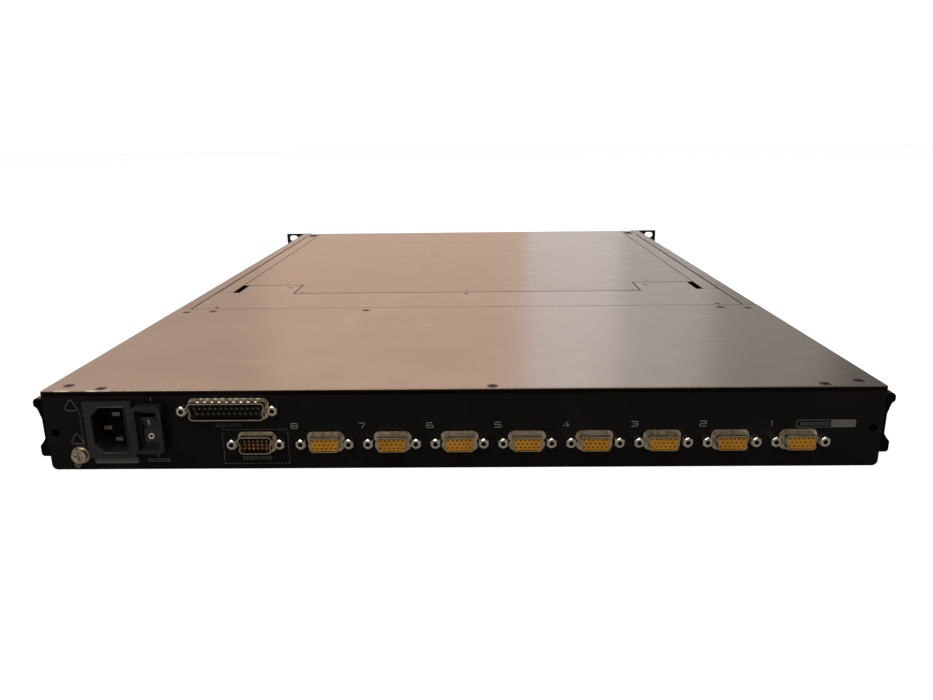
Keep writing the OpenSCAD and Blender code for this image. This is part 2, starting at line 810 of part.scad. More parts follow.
// The rocker rests with its lower half pressed, which is off.
rocker_face = 3.2;
module power_rocker() {
    w = well_w - 2 * slip;
    h = well_h / 2 - 1;
    color("#0f1012") translate([switch_x, yv(rocker_pivot_v), switch_z]) rotate([-rocker_swing / 2, 0, 0]) {
        translate([-w / 2, 0, 0]) rotate([90, 0, 90]) linear_extrude(w)
            polygon([[rocker_face, 0], [rocker_face + 1.4, h], [rocker_face - 2.8, h], [-3.4, 4],
                [-3.4, -4], [rocker_face - 2.8, -h], [rocker_face + 1.4, -h]]);
        translate([-well_w / 2 - 0.7, 0, 0]) rotate([0, 90, 0])
            cylinder(r = rocker_pin_r, h = well_w + 1.4);
    }
}

ground_x = half_w - 16.6;
ground_z = 8.6;
ground_shank_r = 1.9;
module ground_screw() {
    color("#bdb6a6") difference() {
        union() {
            rod_v(ground_x, ground_z, -0.8, 0, 4.7);
            rod_v(ground_x, ground_z, -3.2, -0.8, 3.9);
            rod_v(ground_x, ground_z, -1, 8, ground_shank_r);
        }
        for (a = [0, 90]) translate([ground_x, yv(-3.2), ground_z]) rotate([0, a, 0])
            translate([-2.4, -1.2, -0.5]) cube([4.8, 2, 1]);
    }
}

module power_supply() {
    cx = (psu_x0 + psu_x1) / 2;
    color("#b58a3c") {
        difference() {
            slab([psu_x0, psu_x1], [psu_v0, psu_v1], [board_z, board_top]);
            for (p = psu_standoff_xv) post(p[0], p[1], board_z - 1, 1.2 + run, board_t + 2);
        }
        // Transformer, filter choke, heat sinks and capacitors
        slab([cx - 14, cx + 14], [psu_v0 + 50, psu_v0 + 80], [board_top, board_top + 22]);
        slab([cx - 20, cx - 2], [psu_v0 + 12, psu_v0 + 28], [board_top, board_top + 15]);
        for (v = [psu_v0 + 36, psu_v0 + 88]) slab([cx - 22, cx + 22], [v, v + 3], [board_top,
            board_top + 24]);
        post(cx + 14, psu_v0 + 22, board_top, 9, 24);
        for (k = [0:2]) post(cx - 16 + k * 16, psu_v0 + 99, board_top, 4, 16);
    }
}

// ---------------------------------------------------------------- cable arm

arm_wall = 1.2;
module arm_link(z, bore_x) {
    difference() {
        union() {
            slab([arm_x, arm_x + arm_l], [arm_v - arm_w / 2, arm_v + arm_w / 2], [z, z + arm_h]);
            for (x = [arm_x, arm_x + arm_l]) post(x, arm_v, z, arm_w / 2, arm_h);
        }
        // Channel for the cable, open at the top between the two pivot bosses
        slab([arm_x + 9, arm_x + arm_l - 9], [arm_v - arm_w / 2 + arm_wall, arm_v + arm_w / 2 - arm_wall],
            [z + arm_wall, z + arm_h + 1]);
        post(bore_x, arm_v, z - 1, arm_pin_r + run, arm_h + 2);
    }
}
module cable_arm_rear() {
    color("#5c5f66") union() {
        arm_link(arm_rear_z, arm_x);
        post(arm_x + arm_l, arm_v, arm_rear_z, arm_pin_r, arm_front_z - arm_rear_z + arm_h + 1);
    }
}
module cable_arm_front() {
    color("#6b6e75") union() {
        arm_link(arm_front_z, arm_x + arm_l);
        post(arm_x, arm_v, arm_front_z, arm_pin_r, arm_h + 5);
    }
}
arm_cable = [9, 6];
module arm_ribbon(z) {
    slab([arm_x + 12, arm_x + arm_l - 12], [arm_v - arm_cable[0] / 2, arm_v + arm_cable[0] / 2],
        [z + arm_wall, z + arm_wall + arm_cable[1]]);
}
module cable_arm_rear_cable() {
    color("#33343a") arm_ribbon(arm_rear_z);
}
module cable_arm_front_cable() {
    color("#33343a") arm_ribbon(arm_front_z);
}

// ---------------------------------------------------------------- drawer

arm_tab_z = arm_front_z + arm_h + 1.2;
arm_tab_t = 1.6;
module drawer_tray() {
    color("#1b1b1f") difference() {
        union() {
            slab([-drawer_half, drawer_half], [drawer_v0, drawer_v1], [drawer_z, drawer_floor]);
            both_sides() slab([drawer_half - sheet, drawer_half], [drawer_v0, drawer_v1],
                [drawer_floor, under_z]);
            slab([-drawer_half + sheet, drawer_half - sheet], [drawer_v0, drawer_v0 + sheet],
                [drawer_floor, under_z]);
            slab([-drawer_half + sheet, drawer_half - sheet], [drawer_v1 - sheet, drawer_v1],
                [drawer_floor, frame_z - frame_t]);
            // Tab behind the back wall that the front end of the cable arm pulls on
            slab([arm_x - 9, arm_x + 9], [arm_v - arm_lost_motion - 5, drawer_v0], [arm_tab_z,
                arm_tab_z + arm_tab_t]);
        }
        for (e = [-1, 1]) post(arm_x, arm_v + e * arm_lost_motion, arm_tab_z - 1, arm_pin_r + 0.2,
            arm_tab_t + 2);
        slab([arm_x - arm_pin_r - 0.2, arm_x + arm_pin_r + 0.2], [arm_v - arm_lost_motion,
            arm_v + arm_lost_motion],
            [arm_tab_z - 1, arm_tab_z + arm_tab_t + 1]);
        slab([grommet_x - grommet_w / 2, grommet_x + grommet_w / 2], [drawer_v0 - 1, drawer_v0 + 3],
            [frame_z + 1, frame_z + 8]);
        both_sides() for (v = slide_screw_vs) rod_x(drawer_half - 3, drawer_half + 1, v,
            slide_screw_z, slide_screw_r + run);
    }
}

module deck_outline() {
    polygon([[-drawer_half, deck_v0], [drawer_half, deck_v0], [drawer_half, trim_v0 - seam],
        [tongue_edge, trim_v0 - seam], [tongue_edge, tongue_v], [tongue_in, tongue_v], [tongue_in, deck_v1],
        [-tongue_in, deck_v1], [-tongue_in, tongue_v], [-tongue_edge, tongue_v], [-tongue_edge,
            trim_v0 - seam],
        [-drawer_half, trim_v0 - seam]]);
}
deck_rib_v = deck_v1 - 10;
module hinge_deck() {
    color("#8d7768") difference() {
        union() {
            plan(under_z, top_z) deck_outline();
            // Rib that stiffens the edge beside the lid and takes its screws
            slab([-tongue_in + 8, tongue_in - 8], [deck_rib_v, deck_rib_v + 6], [under_z - 4, under_z]);
            both_sides() slab([tongue_in + 3, tongue_edge - 2], [tongue_v - 14, tongue_v - 8],
                [under_z - 4, under_z]);
        }
        for (p = deck_screw_xv) screw_seat(p[0], p[1], deck_screw_r);
    }
}

catch_v = drawer_v1 - 32;
catch_l = 14;
catch_travel = 5;
catch_half = trim_w / 2 - 2.3;
catch_shelf_z = under_z - 6;
trim_x0 = drawer_half - trim_w;
trim_mid = drawer_half - trim_w / 2;
module side_trims() {
    color("#8d7768") both_sides() difference() {
        union() {
            slab([trim_x0, drawer_half], [trim_v0, drawer_v1], [under_z, top_z]);
            slab([trim_x0, trim_x0 + sheet], [trim_v0, drawer_v1], [frame_z, under_z]);
            slab([trim_x0 + sheet, drawer_half - sheet], [catch_v - 10, catch_v + catch_l + 12],
                [catch_shelf_z - sheet, catch_shelf_z]);
        }
        slab([trim_mid - catch_half - slip, trim_mid + catch_half + slip],
            [catch_v - slip, catch_v + catch_l + catch_travel + slip], [under_z - 1, top_z + 1]);
    }
}

module release_catches() {
    color("#0e0e10") both_sides() difference() {
        union() {
            slab([trim_mid - catch_half, trim_mid + catch_half], [catch_v, catch_v + catch_l],
                [under_z - 1, top_z - hair]);
            slab([trim_mid - catch_half - 0.8, trim_mid + catch_half + 0.8], [catch_v - 5,
                catch_v + catch_l],
                [catch_shelf_z + slip, under_z - slip]);
        }
        for (k = [0:3]) slab([trim_mid - catch_half - 1, trim_mid + catch_half + 1],
            [catch_v + 2.4 + k * 2.8, catch_v + 3.6 + k * 2.8], [top_z - 0.9, top_z + 1]);
    }
}

module drawer_screws() {
    color("#2a2624") {
        for (p = deck_screw_xv) flat_screw(p[0], p[1], top_z, deck_screw_r, 4);
        // Screws that hold the slides' inner members, seen inside the side walls
        both_sides() for (v = slide_screw_vs) {
            rod_x(drawer_half - sheet - 1.4, drawer_half - sheet, v, slide_screw_z, slide_head_r);
            rod_x(drawer_half - sheet - 0.1, drawer_half + slide_sheet + 0.6, v, slide_screw_z,
                slide_screw_r);
        }
    }
}

// ---------------------------------------------------------------- keyboard frame and keys

window_edge = 1.6;
kb_window = [[kb_x0 - window_edge, kb_x0 + kb_w + window_edge],
    [kb_v0 - window_edge, kb_v0 + kb_rows * key_pitch + window_edge]];
frame_boss_xv = [for (x = [-190, -60, 60, 190], v = [drawer_v0 + 30, drawer_v1 - 40]) [x, v]];
display_x = strip_x0 - 19;
light_row_v = strip_v - 9;

function strip_x(k) = strip_x0 + k * strip_pitch;

module keyboard_frame() {
    color("#202126") difference() {
        union() {
            slab([-drawer_half + sheet, drawer_half - sheet], [drawer_v0 + sheet, drawer_v1],
                [frame_z - frame_t, frame_z]);
            for (p = frame_boss_xv) post(p[0], p[1], drawer_floor, 4, frame_z - frame_t - drawer_floor);
        }
        slab(kb_window[0], kb_window[1], [frame_z - 3, frame_z + 1]);
        slab([-pad_w / 2 - hair, pad_w / 2 + hair], [pad_v0 - hair, pad_v0 + pad_d + hair],
            [frame_z - 3, frame_z + 1]);
        slab([-pad_w / 2 - hair, pad_w / 2 + hair], [pad_v0 + pad_d + 2,
            pad_v0 + pad_d + 2 + pad_button_d + 2 * hair],
            [frame_z - 3, frame_z + 1]);
        for (k = [0:port_count - 1]) {
            slab([strip_x(k) - button_w / 2 - hair, strip_x(k) + button_w / 2 + hair],
                [strip_v - button_d / 2 - hair, strip_v + button_d / 2 + hair], [frame_z - 3, frame_z + 1]);
            for (e = [-1, 1]) post(strip_x(k) + e * 2.6, light_row_v, frame_z - 3, 1.15, 4);
        }
        slab([display_x - 8 - hair, display_x + 8 + hair], [strip_v - 11 - hair, strip_v + 3 + hair],
            [frame_z - 3, frame_z + 1]);
    }
}

// Tray under the keys, with a guide hole for each stem.
module keyboard_base() {
    color("#2c2d31") difference() {
        slab([kb_window[0][0] - 3, kb_window[0][1] + 3], [kb_window[1][0] - 3, kb_window[1][1] + 3],
            [kb_floor - kb_floor_t, frame_z - frame_t]);
        slab(kb_window[0], kb_window[1], [kb_floor, frame_z]);
        for (row = key_rows, x = row_centres(row)) post(x, row_v(row[0]), kb_floor - kb_floor_t - 1,
            stem_r + run, kb_floor_t + 2);
    }
}

function ones(n) = [for (i = [1:n]) 1];

// Rows of keys: [row, widths, first unit, group]. Widths and places are in key units, and row 0 is
// nearest the screen.
NUMBERS = 0;
LETTERS = 1;
BOTTOM = 2;
key_rows = [
    [0, ones(main_units), 0, NUMBERS], [0, ones(pad_units), pad_offset, NUMBERS],
    [1, concat(ones(13), [2]), 0, NUMBERS], [1, ones(pad_units), pad_offset, NUMBERS],
    [2, concat([1.5], ones(12), [1.5]), 0, LETTERS], [2, ones(pad_units), pad_offset, LETTERS],
    [3, concat([1.75], ones(11), [2.25]), 0, LETTERS], [3, ones(pad_units), pad_offset, LETTERS],
    [4, concat([2.25], ones(10), [1.75, 1]), 0, LETTERS], [4, ones(pad_units), pad_offset, LETTERS],
    [5, [1.25, 1.25, 1.25, 6, 1.25, 1, 1, 1, 1], 0, BOTTOM], [5, [2, 1, 1], pad_offset, BOTTOM],
];
// First unit of each key in a row, and the X of each key's middle.
function row_starts(row) = [for (i = 0, s = row[2]; i < len(row[1]); s = s + row[1][i], i = i + 1) s];
function row_centres(row) = let (starts = row_starts(row))
    [for (i = [0:len(starts) - 1]) kb_x0 + (starts[i] + row[1][i] / 2) * key_pitch];
function row_v(r) = kb_v0 + (r + 0.5) * key_pitch;

// Keycap with leaning sides and a round stem that slides in the tray's guide hole.
module keycap(unit, width, row) {
    x0 = kb_x0 + unit * key_pitch + key_gap / 2;
    x1 = kb_x0 + (unit + width) * key_pitch - key_gap / 2;
    v0 = kb_v0 + row * key_pitch + key_gap / 2;
    v1 = v0 + key_pitch - key_gap;
    z1 = key_bottom + key_h;
    intersection() {
        along(v0, v1) polygon([[x0, key_bottom], [x1, key_bottom], [x1 - key_lean, z1],
            [x0 + key_lean, z1]]);
        translate([x0, 0, 0]) rotate([90, 0, 90]) linear_extrude(x1 - x0)
            polygon([[yv(v1), key_bottom], [yv(v0), key_bottom], [yv(v0) - key_lean, z1],
                [yv(v1) + key_lean, z1]]);
    }
    post((x0 + x1) / 2, (v0 + v1) / 2, kb_floor - kb_floor_t, stem_r,
        key_bottom - kb_floor + kb_floor_t + 1);
}

module key_group(group) {
    color("#3a3b40") for (row = key_rows) if (row[3] == group) {
        starts = row_starts(row);
        for (i = [0:len(starts) - 1]) keycap(starts[i], row[1][i], row[0]);
    }
}

module touchpad() {
    color("#2b2c31") {
        slab([-pad_w / 2, pad_w / 2], [pad_v0, pad_v0 + pad_d], [frame_z - frame_t, frame_z - 0.3]);
        slab([-pad_w / 2 - 4, pad_w / 2 + 4], [pad_v0 - 4, pad_v0 + pad_d + 2 + pad_button_d + 4],
            [frame_z - frame_t - board_t, frame_z - frame_t]);
    }
}
pad_button_travel = 0.6;
module touchpad_button(s) {
    v0 = pad_v0 + pad_d + 2 + hair;
    color("#34353a") side(s) slab([0.6, pad_w / 2], [v0, v0 + pad_button_d],
        [frame_z - frame_t + pad_button_travel + 0.1, frame_z + 1]);
}

button_travel = 1;
module port_select_buttons() {
    color("#505259") for (k = [0:port_count - 1])
        slab([strip_x(k) - button_w / 2, strip_x(k) + button_w / 2], [strip_v - button_d / 2,
            strip_v + button_d / 2],
            [frame_z - frame_t + button_travel + 0.1, frame_z + 1.6]);
}

// Board under the strip, the two lights over each button, and the two-digit station display.
module status_lights() {
    color("#7f1d1d") {
        slab([display_x - 12, strip_x(port_count - 1) + 12], [strip_v - 15, strip_v + 9],
            [frame_z - frame_t - board_t, frame_z - frame_t]);
        for (k = [0:port_count - 1], e = [-1, 1])
            post(strip_x(k) + e * 2.6, light_row_v, frame_z - frame_t, 1, frame_t + 0.4);
        slab([display_x - 8, display_x + 8], [strip_v - 11, strip_v + 3], [frame_z - frame_t,
            frame_z + 0.2]);
    }
}

stop_xv = [for (s = [-1, 1], v = [hinge_v + 36, drawer_v1 - 14]) [s * (lid_half - 8), v]];

// Front of the drawer: a moulded bar with a pull handle.
module drawer_front() {
    color("#141417") {
        slab([-front_half, front_half], [front_v0, front_v0 + front_t], [front_z0, front_z1]);
        slab([-drawer_half, drawer_half], [drawer_v1, front_v0], [drawer_z, frame_z]);
        rod_x(-handle_half, handle_half, handle_v, handle_z, handle_r);
        both_sides() slab([handle_half - 14, handle_half - 4], [front_v0 + front_t, handle_v - 3],
            [handle_z - 3.5, handle_z + 3.5]);
    }
}

module lid_stops() {
    color("#1a1a1a") for (p = stop_xv) post(p[0], p[1], frame_z, 4, lid_z - frame_z - 0.1);
}

// ---------------------------------------------------------------- hinges and lid

barrel_r = hinge_shaft_d / 2 + 2;
leaf_x0 = tongue_in + 3;
leaf_x1 = tongue_edge - 3;
module hinge_leaves() {
    color("#4a4c52") both_sides() difference() {
        union() {
            rod_x(leaf_x0, leaf_x1, hinge_v, hinge_z, barrel_r);
            slab([leaf_x0, leaf_x1], [hinge_v - 3, hinge_v + 3], [frame_z, hinge_z - 3]);
            slab([leaf_x0, leaf_x1], [hinge_v - 14, hinge_v + 14], [frame_z, frame_z + 2.4]);
        }
        rod_x(leaf_x0 - 1, leaf_x1 - 3, hinge_v, hinge_z, hinge_shaft_d / 2 + run);
    }
}

module lid_hinge_arms() {
    arm_x0 = leaf_x0 - 30;
    arm_x1 = leaf_x0 - 7;
    color("#5c5f66") both_sides() {
        rod_x(arm_x0, leaf_x1 - 3.2, hinge_v, hinge_z, hinge_shaft_d / 2);
        slab([arm_x0, arm_x1], [hinge_v - 3, hinge_v + 3], [hinge_z, under_z]);
        slab([arm_x0, arm_x1], [hinge_v + 3, hinge_v + 34], [under_z - 2, under_z]);
    }
}

module lid_outline(inset = 0) {
    e = inset;
    m = tongue_in - 1 - e;
    polygon([[-m, lid_v0 + e], [m, lid_v0 + e], [m, lid_shoulder + e], [lid_half - e, lid_shoulder + e],
        [lid_half - e, lid_v1 - e], [-lid_half + e, lid_v1 - e], [-lid_half + e, lid_shoulder + e],
        [-m, lid_shoulder + e]]);
}

lip_half = 60;
lip_out = 11;
module lid_back_cover() {
    color("#8d7768") difference() {
        union() {
            plan(lid_z + bezel_t, top_z) lid_outline();
            // Grip along the front edge for pulling and lifting
            slab([-lip_half, lip_half], [lid_v1, lid_v1 + lip_out], [top_z - 9, top_z - 6]);
            both_sides() slab([lip_half - 3, lip_half], [lid_v1, lid_v1 + lip_out], [top_z - 6, top_z - 3]);
        }
        plan(lid_z + bezel_t - 1, under_z) lid_outline(sheet);
        for (p = lid_screw_xv) screw_seat(p[0], p[1], deck_screw_r);
        rod_x(-tongue_in, tongue_in, hinge_v, hinge_z, hinge_shaft_d / 2 + slip);
    }
    color("#2a2624") for (p = lid_screw_xv) flat_screw(p[0], p[1], top_z, deck_screw_r, lid_screw_l);
}

function control_x(k) = control_x0 + k * control_pitch;

module lid_bezel() {
    color("#1d1e22") difference() {
        union() {
            plan(lid_z, lid_z + bezel_t) lid_outline();
            // Board behind the buttons
            slab([control_x(0) - 8, control_x(control_count - 1) + 8], [control_v - 5, control_v + 5],
                [lid_z + bezel_t, lid_z + bezel_t + 1.2]);
        }
        slab([-screen_w / 2, screen_w / 2], [screen_v - screen_h / 2, screen_v + screen_h / 2],
            [lid_z - 1, lid_z + 3]);
        for (k = [0:control_count - 1]) slab([control_x(k) - control_w / 2 - hair,
            control_x(k) + control_w / 2 + hair],
            [control_v - control_d / 2 - hair, control_v + control_d / 2 + hair], [lid_z - 1,
                lid_z + bezel_t]);
    }
}

panel_edge_x = 10.25;
panel_edge_v = 13.25;
glass_t = 2;
module lcd_screen() {
    color("#0b0d12") {
        slab([-screen_w / 2 - 3, screen_w / 2 + 3], [screen_v - screen_h / 2 - 3,
            screen_v + screen_h / 2 + 3],
            [lid_z + bezel_t, lid_z + bezel_t + glass_t]);
        slab([-screen_w / 2 - panel_edge_x, screen_w / 2 + panel_edge_x],
            [screen_v - screen_h / 2 - panel_edge_v, screen_v + screen_h / 2 + panel_edge_v],
            [lid_z + bezel_t + glass_t, under_z]);
    }
}

control_travel = 0.8;
module lid_control_buttons() {
    color("#505259") for (k = [0:control_count - 1])
        slab([control_x(k) - control_w / 2, control_x(k) + control_w / 2], [control_v - control_d / 2,
            control_v + control_d / 2],
            [lid_z - 0.7, lid_z + bezel_t - control_travel - 0.1]);
}

// ---------------------------------------------------------------- nodes

rear_case();
bulkhead();
arm_shelf();
rear_cover();
cover_screws();
outer_rail(-1);  // left_outer_rail
outer_rail(1);  // right_outer_rail
rack_ear(-1);  // left_rack_ear
rack_ear(1);  // right_rack_ear
ear_screws();
slide_outer(-1);  // left_slide_outer
slide_outer(1);  // right_slide_outer
slide_middle_members();
slide_inner(-1);  // left_slide_inner
slide_inner(1);  // right_slide_inner
slide_balls();
switch_board();
board_standoffs();
board_chips();
port_shells();
port_inserts();
jack_screws();
chain_port_shell();
chain_port_insert();
console_port_shell();
console_port_insert();
chain_board();
power_inlet();
inlet_pins();
power_switch_housing();
power_rocker();
ground_screw();
power_supply();
cable_arm_rear();
cable_arm_front();
cable_arm_rear_cable();
cable_arm_front_cable();
drawer_tray();
hinge_deck();
side_trims();
drawer_screws();
keyboard_frame();
keyboard_base();
key_group(NUMBERS);  // number_and_function_keys
key_group(LETTERS);  // letter_keys
key_group(BOTTOM);  // bottom_row_keys
touchpad();
touchpad_button(-1);  // touchpad_left_button
touchpad_button(1);  // touchpad_right_button
port_select_buttons();
status_lights();
release_catches();
drawer_front();
lid_stops();
hinge_leaves();
lid_back_cover();
lid_bezel();
lcd_screen();
lid_hinge_arms();
lid_control_buttons();
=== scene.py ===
"""Looks of a rack-mount console switch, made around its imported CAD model.

Lengths are in metres unless a name ends in _mm or a class says millimetres. The frame is the CAD
model's own: +Z up, +Y towards the rear panel, +X to the right of someone who faces the drawer's front.
"""

import json  # noqa: E402
import logging  # noqa: E402
import math  # noqa: E402
from dataclasses import dataclass, field  # noqa: E402
from enum import Enum  # noqa: E402
from typing import Iterable, Sequence  # noqa: E402

import bmesh  # noqa: E402
import bpy  # noqa: E402
from mathutils import Matrix, Vector  # noqa: E402


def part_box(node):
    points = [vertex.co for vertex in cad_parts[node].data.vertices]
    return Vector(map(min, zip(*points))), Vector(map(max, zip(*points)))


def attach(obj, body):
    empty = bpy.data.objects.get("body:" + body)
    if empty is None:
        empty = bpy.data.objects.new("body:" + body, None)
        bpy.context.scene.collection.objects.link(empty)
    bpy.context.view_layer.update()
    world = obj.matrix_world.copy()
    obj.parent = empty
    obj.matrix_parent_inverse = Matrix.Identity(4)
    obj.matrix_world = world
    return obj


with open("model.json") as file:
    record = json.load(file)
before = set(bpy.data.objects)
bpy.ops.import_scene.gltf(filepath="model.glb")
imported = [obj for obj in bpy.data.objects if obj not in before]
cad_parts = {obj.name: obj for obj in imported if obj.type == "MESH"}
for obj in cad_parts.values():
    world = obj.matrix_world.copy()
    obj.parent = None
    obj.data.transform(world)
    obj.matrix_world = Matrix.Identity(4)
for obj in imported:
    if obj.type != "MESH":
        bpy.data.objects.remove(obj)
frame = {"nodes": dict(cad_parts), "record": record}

LOG = logging.getLogger("console_switch")
MM = 0.001
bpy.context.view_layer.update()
REAR_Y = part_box("rear_case")[1].y  # outer face of the rear panel

Color = tuple[float, float, float, float]
Triple = tuple[float, float, float]
Pair = tuple[float, float]
Pairs = tuple[Pair, ...]
Loop = Sequence[Pair]
Strokes = list[tuple[Loop, bool]]
Socket = bpy.types.NodeSocket
Tree = bpy.types.NodeTree
EVEN: Triple = (1, 1, 1)


def srgb(code: str) -> Color:
    """Turn an sRGB hex value into the linear colour that a shader wants.

    Args:
        code: A colour as "#rrggbb".

    Returns:
        Linear red, green and blue, with an alpha of one.
    """
    parts = [int(code[i : i + 2], 16) / 255 for i in (1, 3, 5)]
    linear = [c / 12.92 if c <= 0.04045 else ((c + 0.055) / 1.055) ** 2.4 for c in parts]
    return (linear[0], linear[1], linear[2], 1.0)


def add_node(tree: Tree, kind: str, inputs: dict | None = None, **settings: object) -> bpy.types.Node:
    """Add one node, with its settings, values and links.

    Args:
        tree: The node tree that it goes into.
        kind: Its type in Blender.
        inputs: A value or a socket to link from, for each input by name or number.
        **settings: Its own settings by name.

    Returns:
        The new node.
    """
    node = tree.nodes.new(kind)
    for name, value in settings.items():
        setattr(node, name, value)
    for name, value in (inputs or {}).items():
        if isinstance(value, bpy.types.NodeSocket):
            tree.links.new(value, node.inputs[name])
        else:
            node.inputs[name].default_value = value
    return node


# ------------------------------------------------------------------ finishes


@dataclass(frozen=True)
class Finish:
    """What every finish shares: a name and how its material is put together."""

    name: str

    def make(self) -> bpy.types.Material:
        """Build the material once.

        Returns:
            The finished material, shared by every piece that wears it.
        """
        found = bpy.data.materials.get(self.name)
        if found:
            return found
        material = bpy.data.materials.new(self.name)
        material.use_nodes = True
        tree = material.node_tree
        tree.nodes.clear()
        place = add_node(tree, "ShaderNodeTexCoord").outputs["Object"]
        shader = self.shade(tree, place)
        add_node(tree, "ShaderNodeOutputMaterial", {"Surface": shader.outputs[0]})
        return material

    def shade(self, tree: Tree, place: Socket) -> bpy.types.Node:
        """Return the finish's shader; each kind of finish has its own."""
        raise NotImplementedError

    @staticmethod
    def grain(tree: Tree, place: Socket, size_mm: float, detail: float = 2.0,
              stretch: Triple = EVEN) -> Socket:
        """Make an even random pattern.

        Args:
            tree: The material's node tree.
            place: Where on the piece, in metres.
            size_mm: How large one grain is.
            detail: How many finer layers lie on it.
            stretch: How much denser it is along each axis.

        Returns:
            A value from about 0.3 to 0.7.
        """
        scaled = add_node(tree, "ShaderNodeVectorMath", {0: place, 1: stretch}, operation="MULTIPLY")
        noise = add_node(tree, "ShaderNodeTexNoise",
                         {"Vector": scaled.outputs[0], "Scale": 1 / (size_mm * MM), "Detail": detail})
        return noise.outputs[0]

    @staticmethod
    def patches(tree: Tree, place: Socket, size_mm: float, low: float, high: float,
                span: Pair = (0.3, 0.7), detail: float = 3.0,
                stretch: Triple = EVEN) -> Socket:
        """Make a value that wanders over the surface, as gloss and dirt do.

        Args:
            tree: The material's node tree.
            place: Where on the piece, in metres.
            size_mm: How large one patch is.
            low: The value in the pattern's troughs.
            high: The value on its crests.
            span: The part of the pattern's range that counts; a narrow one gives sharp patches.
            detail: How many finer layers lie on it.
            stretch: How much denser it is along each axis.

        Returns:
            The value.
        """
        pattern = Finish.grain(tree, place, size_mm, detail, stretch)
        return add_node(tree, "ShaderNodeMapRange",
                        {0: pattern, 1: span[0], 2: span[1], 3: low, 4: high}).outputs[0]

    @staticmethod
    def texture(tree: Tree, place: Socket, size_mm: float, depth_mm: float, strength: float = 1.0,
                detail: float = 2.0, stretch: Triple = EVEN) -> Socket:
        """Raise a fine random relief.

        Args:
            tree: The material's node tree.
            place: Where on the piece, in metres.
            size_mm: From crest to crest.
            depth_mm: From crest to trough.
            strength: How plainly it shows.
            detail: How many finer layers lie on it.
            stretch: How much denser it is along each axis.

        Returns:
            The normal for the shader.
        """
        height = Finish.grain(tree, place, size_mm, detail, stretch)
        return add_node(tree, "ShaderNodeBump",
                        {"Height": height, "Distance": depth_mm * MM, "Strength": strength}).outputs[0]


